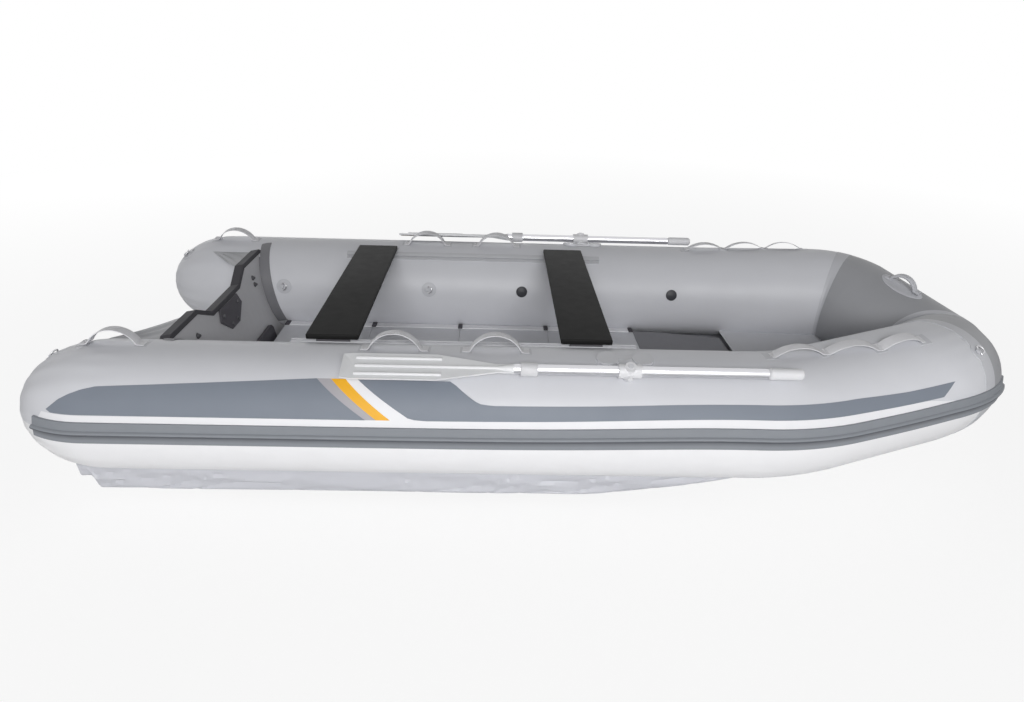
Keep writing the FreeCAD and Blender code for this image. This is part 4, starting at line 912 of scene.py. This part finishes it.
def arch(place, span, tall, width, foot):
    """A strap arch on a place, its feet bent round the tube by the parabola that
    has the tube's curve, and the strap laid flat beside it."""
    thickness = 0.0028
    out, path, up = arch_line(span / 2, tall, foot, 31, 8, 2, 0.0003 + thickness / 2)
    outline = rounded(width, thickness, thickness * 0.35)
    outline = np.broadcast_to(outline, (len(path), *outline.shape)).copy()
    lying = eased(1 - out / (0.25 * tall))[:, None]
    outline[..., 1] -= lying * outline[..., 0] ** 2 / (2 * tube_radius)
    grid = stood(place, carried(path, (0, 1, 0), up, outline))
    passed = np.append(0, np.cumsum(np.linalg.norm(np.diff(path, axis=0), axis=1)))
    return grid, ended(joined(passed[:, None], outline[..., 0]))


def foot_patch(side, s, spin, length, width, lift):
    """A glued patch of tube cloth under a foot, its rim tucked into the cloth."""
    u, v = np.meshgrid(*(np.r_[-0.5, np.linspace(-0.49, 0.49, count), 0.5] for count in (5, 7)),
                       indexing="ij")
    inside = (np.abs(u) < 0.495) & (np.abs(v) < 0.495)
    return skin(side, s + u * length, spin + v * width / tube_radius,
                np.where(inside, lift, -0.0008))


strap_webbing = marked("Grey_webbing", stitched, 0.75, 0.16, 60.0,
                       woven("UV", 2 * np.pi / 0.0022, 0.5, 0.0006), Sheen_Weight=0.3)
patch_cloth = coated_cloth("Patch_cloth", paint(196, 197, 202), depth=0.05)
lean = np.radians(4)
joint_s = station([2.597, 2.803, 2.989, 3.165])
joint_spin = np.radians([3.0, -2.5, -12.0, -14.0])
for side in sides:
    made, patches = [], []
    for s, span, tall in ((0.332, 0.166, 0.050), (1.283, 0.178, 0.058), (1.631, 0.178, 0.058)):
        made.append(arch(spot(side, s, lean), span, tall, 0.044, 0.026))
        for end in (-1, 1):
            patches.append(foot_patch(side, s + end * (span / 2 + 0.014), lean, 0.042, 0.060, 0.0002))
    grids, flats = zip(*made)
    fitted(surface(f"{side}_strap_arches", grids, flats), strap_webbing, "strap_webbing",
           f"{side}_lifting_straps")
    made = []
    joints = [spot(side, s, spin) for s, spin in zip(joint_s, joint_spin)]
    for rear, front in zip(joints, joints[1:]):
        start, end = (joint[0] + joint[3] * 0.0015 for joint in (rear, front))
        along = unit(end - start)
        out = unit(rear[3] + front[3] - along * ((rear[3] + front[3]) @ along))
        place = ((start + end) / 2, along, np.cross(out, along) * sides[side] * -1, out)
        span = np.linalg.norm(end - start) - 0.026
        made.append(arch(place, span, 0.028, 0.040, 0.013))
    for s, spin in zip(joint_s, joint_spin):
        patches.append(foot_patch(side, s, spin, 0.050, 0.054, 0.0010))
    grids, flats = zip(*made)
    fitted(surface(f"{side}_bow_arches", grids, flats), strap_webbing, "strap_webbing",
           f"{side}_bow_strap")
    fitted(surface(f"{side}_strap_patches", patches), patch_cloth, "tube_fabric")


# The air valves: dark moulded flanges welded to the tubes' inner sides, each with
# a knurled screw cap that is turned by the bar across its hollow.
valve_plastic = moulded("Valve_plastic", paint(58, 59, 64), 0.45)
radii = np.array([0, 0.0255, 0.0268, 0.0270, 0.0262, 0.0222, 0.0214, 0.0212, 0.0210, 0.0198,
                  0.0160, 0.0150, 0])
rises = np.array([-0.004, -0.004, -0.0030, 0.0050, 0.0062, 0.0068, 0.0070, 0.0078, 0.0108,
                  0.0119, 0.0120, 0.0108, 0.0106])
ridged = np.where((radii > 0.0205) & (rises > 0.0069), 0.03, 0.0)
for side in sides:
    caps = []
    for x in (1.759, 2.499):
        place = spot(side, station(x), np.radians(76))
        caps.append(turned(place[0], place[1], place[2] * sides[side], radii, rises, ridged,
                           teeth=26, count=157))
        caps.append(stood(place, rounded_box((0, 0, 0.0112), (0.026, 0.006, 0.0018), 0.0008)))
    fitted(surface(f"{side}_valve_caps", caps), valve_plastic, "valve_plastic", f"{side}_valves")


# The lashing rings: round patches of tube cloth, each with a loop of webbing that
# holds a half ring of steel rod.
circle = rounded(0.0056, 0.0056, 0.0028)
half_turn = np.linspace(0, np.pi, 17)
ring_path = joined(0.019 * np.sin(half_turn) - 0.004, 0.017 * np.cos(half_turn), 0)
bar = joined(-0.004, np.linspace(-0.017, 0.017, 7), 0)
ring_path = np.vstack([ring_path, bar[1:]])
slope = np.roll(ring_path, -1, 0) - np.roll(ring_path, 1, 0)
slope[[0, -1]] = ring_path[1] - ring_path[-2]
sideways = np.cross(unit(slope), (0, 0, 1.0))
ring_grid = carried(ring_path, sideways, (0, 0, 1.0), circle, capped=False)
disc = np.array([0, 0.012, 0.024, 0.0345, 0.0352, 0.036])
disc_lift = np.array([0.0022, 0.0022, 0.0021, 0.0018, 0.0012, -0.0008])
tipped = np.array([[0.94, 0, 0.34], [0, 1, 0], [-0.34, 0, 0.94]])
for side in sides:
    patches, rings, loops = [], [], []
    for x, spin in ((0.602, 76), (1.305, 76), (0.095, 20), (3.290, -40)):
        s, spin = station(x), np.radians(spin)
        r, turn = np.meshgrid(disc, np.linspace(0, 2 * np.pi, 41), indexing="ij")
        near = spot(side, s, spin)
        step, over = (skin(side, s + a, spin + b) - near[0] for a, b in ((0.001, 0), (0, 0.001)))
        per_s, per_turn = np.linalg.norm(step) / 0.001, np.linalg.norm(over) / 0.001
        patches.append(skin(side, s + r * np.cos(turn) / per_s, spin + r * np.sin(turn) / per_turn,
                            np.broadcast_to(disc_lift[:, None], r.shape)))
        along = unit(step)
        out = np.cross(along, near[2]) * -sides[side]
        out = out * np.sign(out @ near[3])
        place = (near[0], along, near[2], out)
        rings.append(stood(place, ring_grid @ tipped + (0, 0, 0.0075)))
        loops.append(stood(place, rounded_box((-0.010, 0, 0.0060), (0.020, 0.018, 0.0085), 0.003)))
    fitted(surface(f"{side}_ring_bases", patches), patch_cloth, "patch_fabric", f"{side}_ring_patches")
    fitted(surface(f"{side}_half_rings", rings), bright_steel, "steel")
    fitted(surface(f"{side}_ring_loops", loops), patch_cloth, "patch_fabric")


# The bow grip: a moulded rubber arch with finger ridges on an oval patch, glued
# to the top of the port bow tube. The photograph shows it on that side alone.
grip_s = shoulder_end + bow_run * 0.38
turn = np.linspace(0, 2 * np.pi, 61)
share = np.array([0, 0.4, 0.8, 0.965, 0.985, 1.0])[:, None]
oval_lift = np.array([0.003, 0.003, 0.003, 0.0028, 0.002, -0.001])[:, None]
oval = skin("port", grip_s + 0.100 * share * np.cos(turn),
            np.radians(5) + 0.055 * share * np.sin(turn) / 0.212, oval_lift + 0 * turn)
out, path, up = arch_line(0.058, 0.042, 0.026, 97, 12, 12, 0.0075)
ridge = 1 + 0.05 * np.cos(2 * np.pi * path[:, 0] / 0.0095) * (out > 0.02)
bar = carried(path, (0, 1, 0), up, rounded(0.030, 0.0125, 0.005) * ridge[:, None, None])
grip = stood(spot("port", grip_s, np.radians(5)), bar)
fitted(surface("Bow_carrying_grip", [oval, grip]), moulded("Grip_rubber", paint(200, 201, 206), 0.45),
       "grip_rubber", "bow_grip")


# The oars: lacquered aluminium shafts with moulded blades, stops, sleeves and
# grips, each on a pin that stands on its two-lobed rowlock base.
dress(moulded("Fitting_plastic", paint(210, 211, 215), 0.3), *both("rowlock"), edge_width=0.0015)
dress(moulded("Stop_plastic", paint(214, 214, 217), 0.4), *both("oar_stop"), edge_width=0.0015)
dress(moulded("Bright_shaft", paint(214, 214, 218), 0.30, depth=0.0, bump=0.0, metallic=0.9),
      *both("oar_shaft"))
dress(moulded("White_plastic", paint(226, 226, 229), 0.4), *both("oar_grip", "oar_sleeve"))
dress(moulded("Blade_plastic", paint(232, 233, 235), 0.4), *both("oar_blade"), edge_width=0.0015)
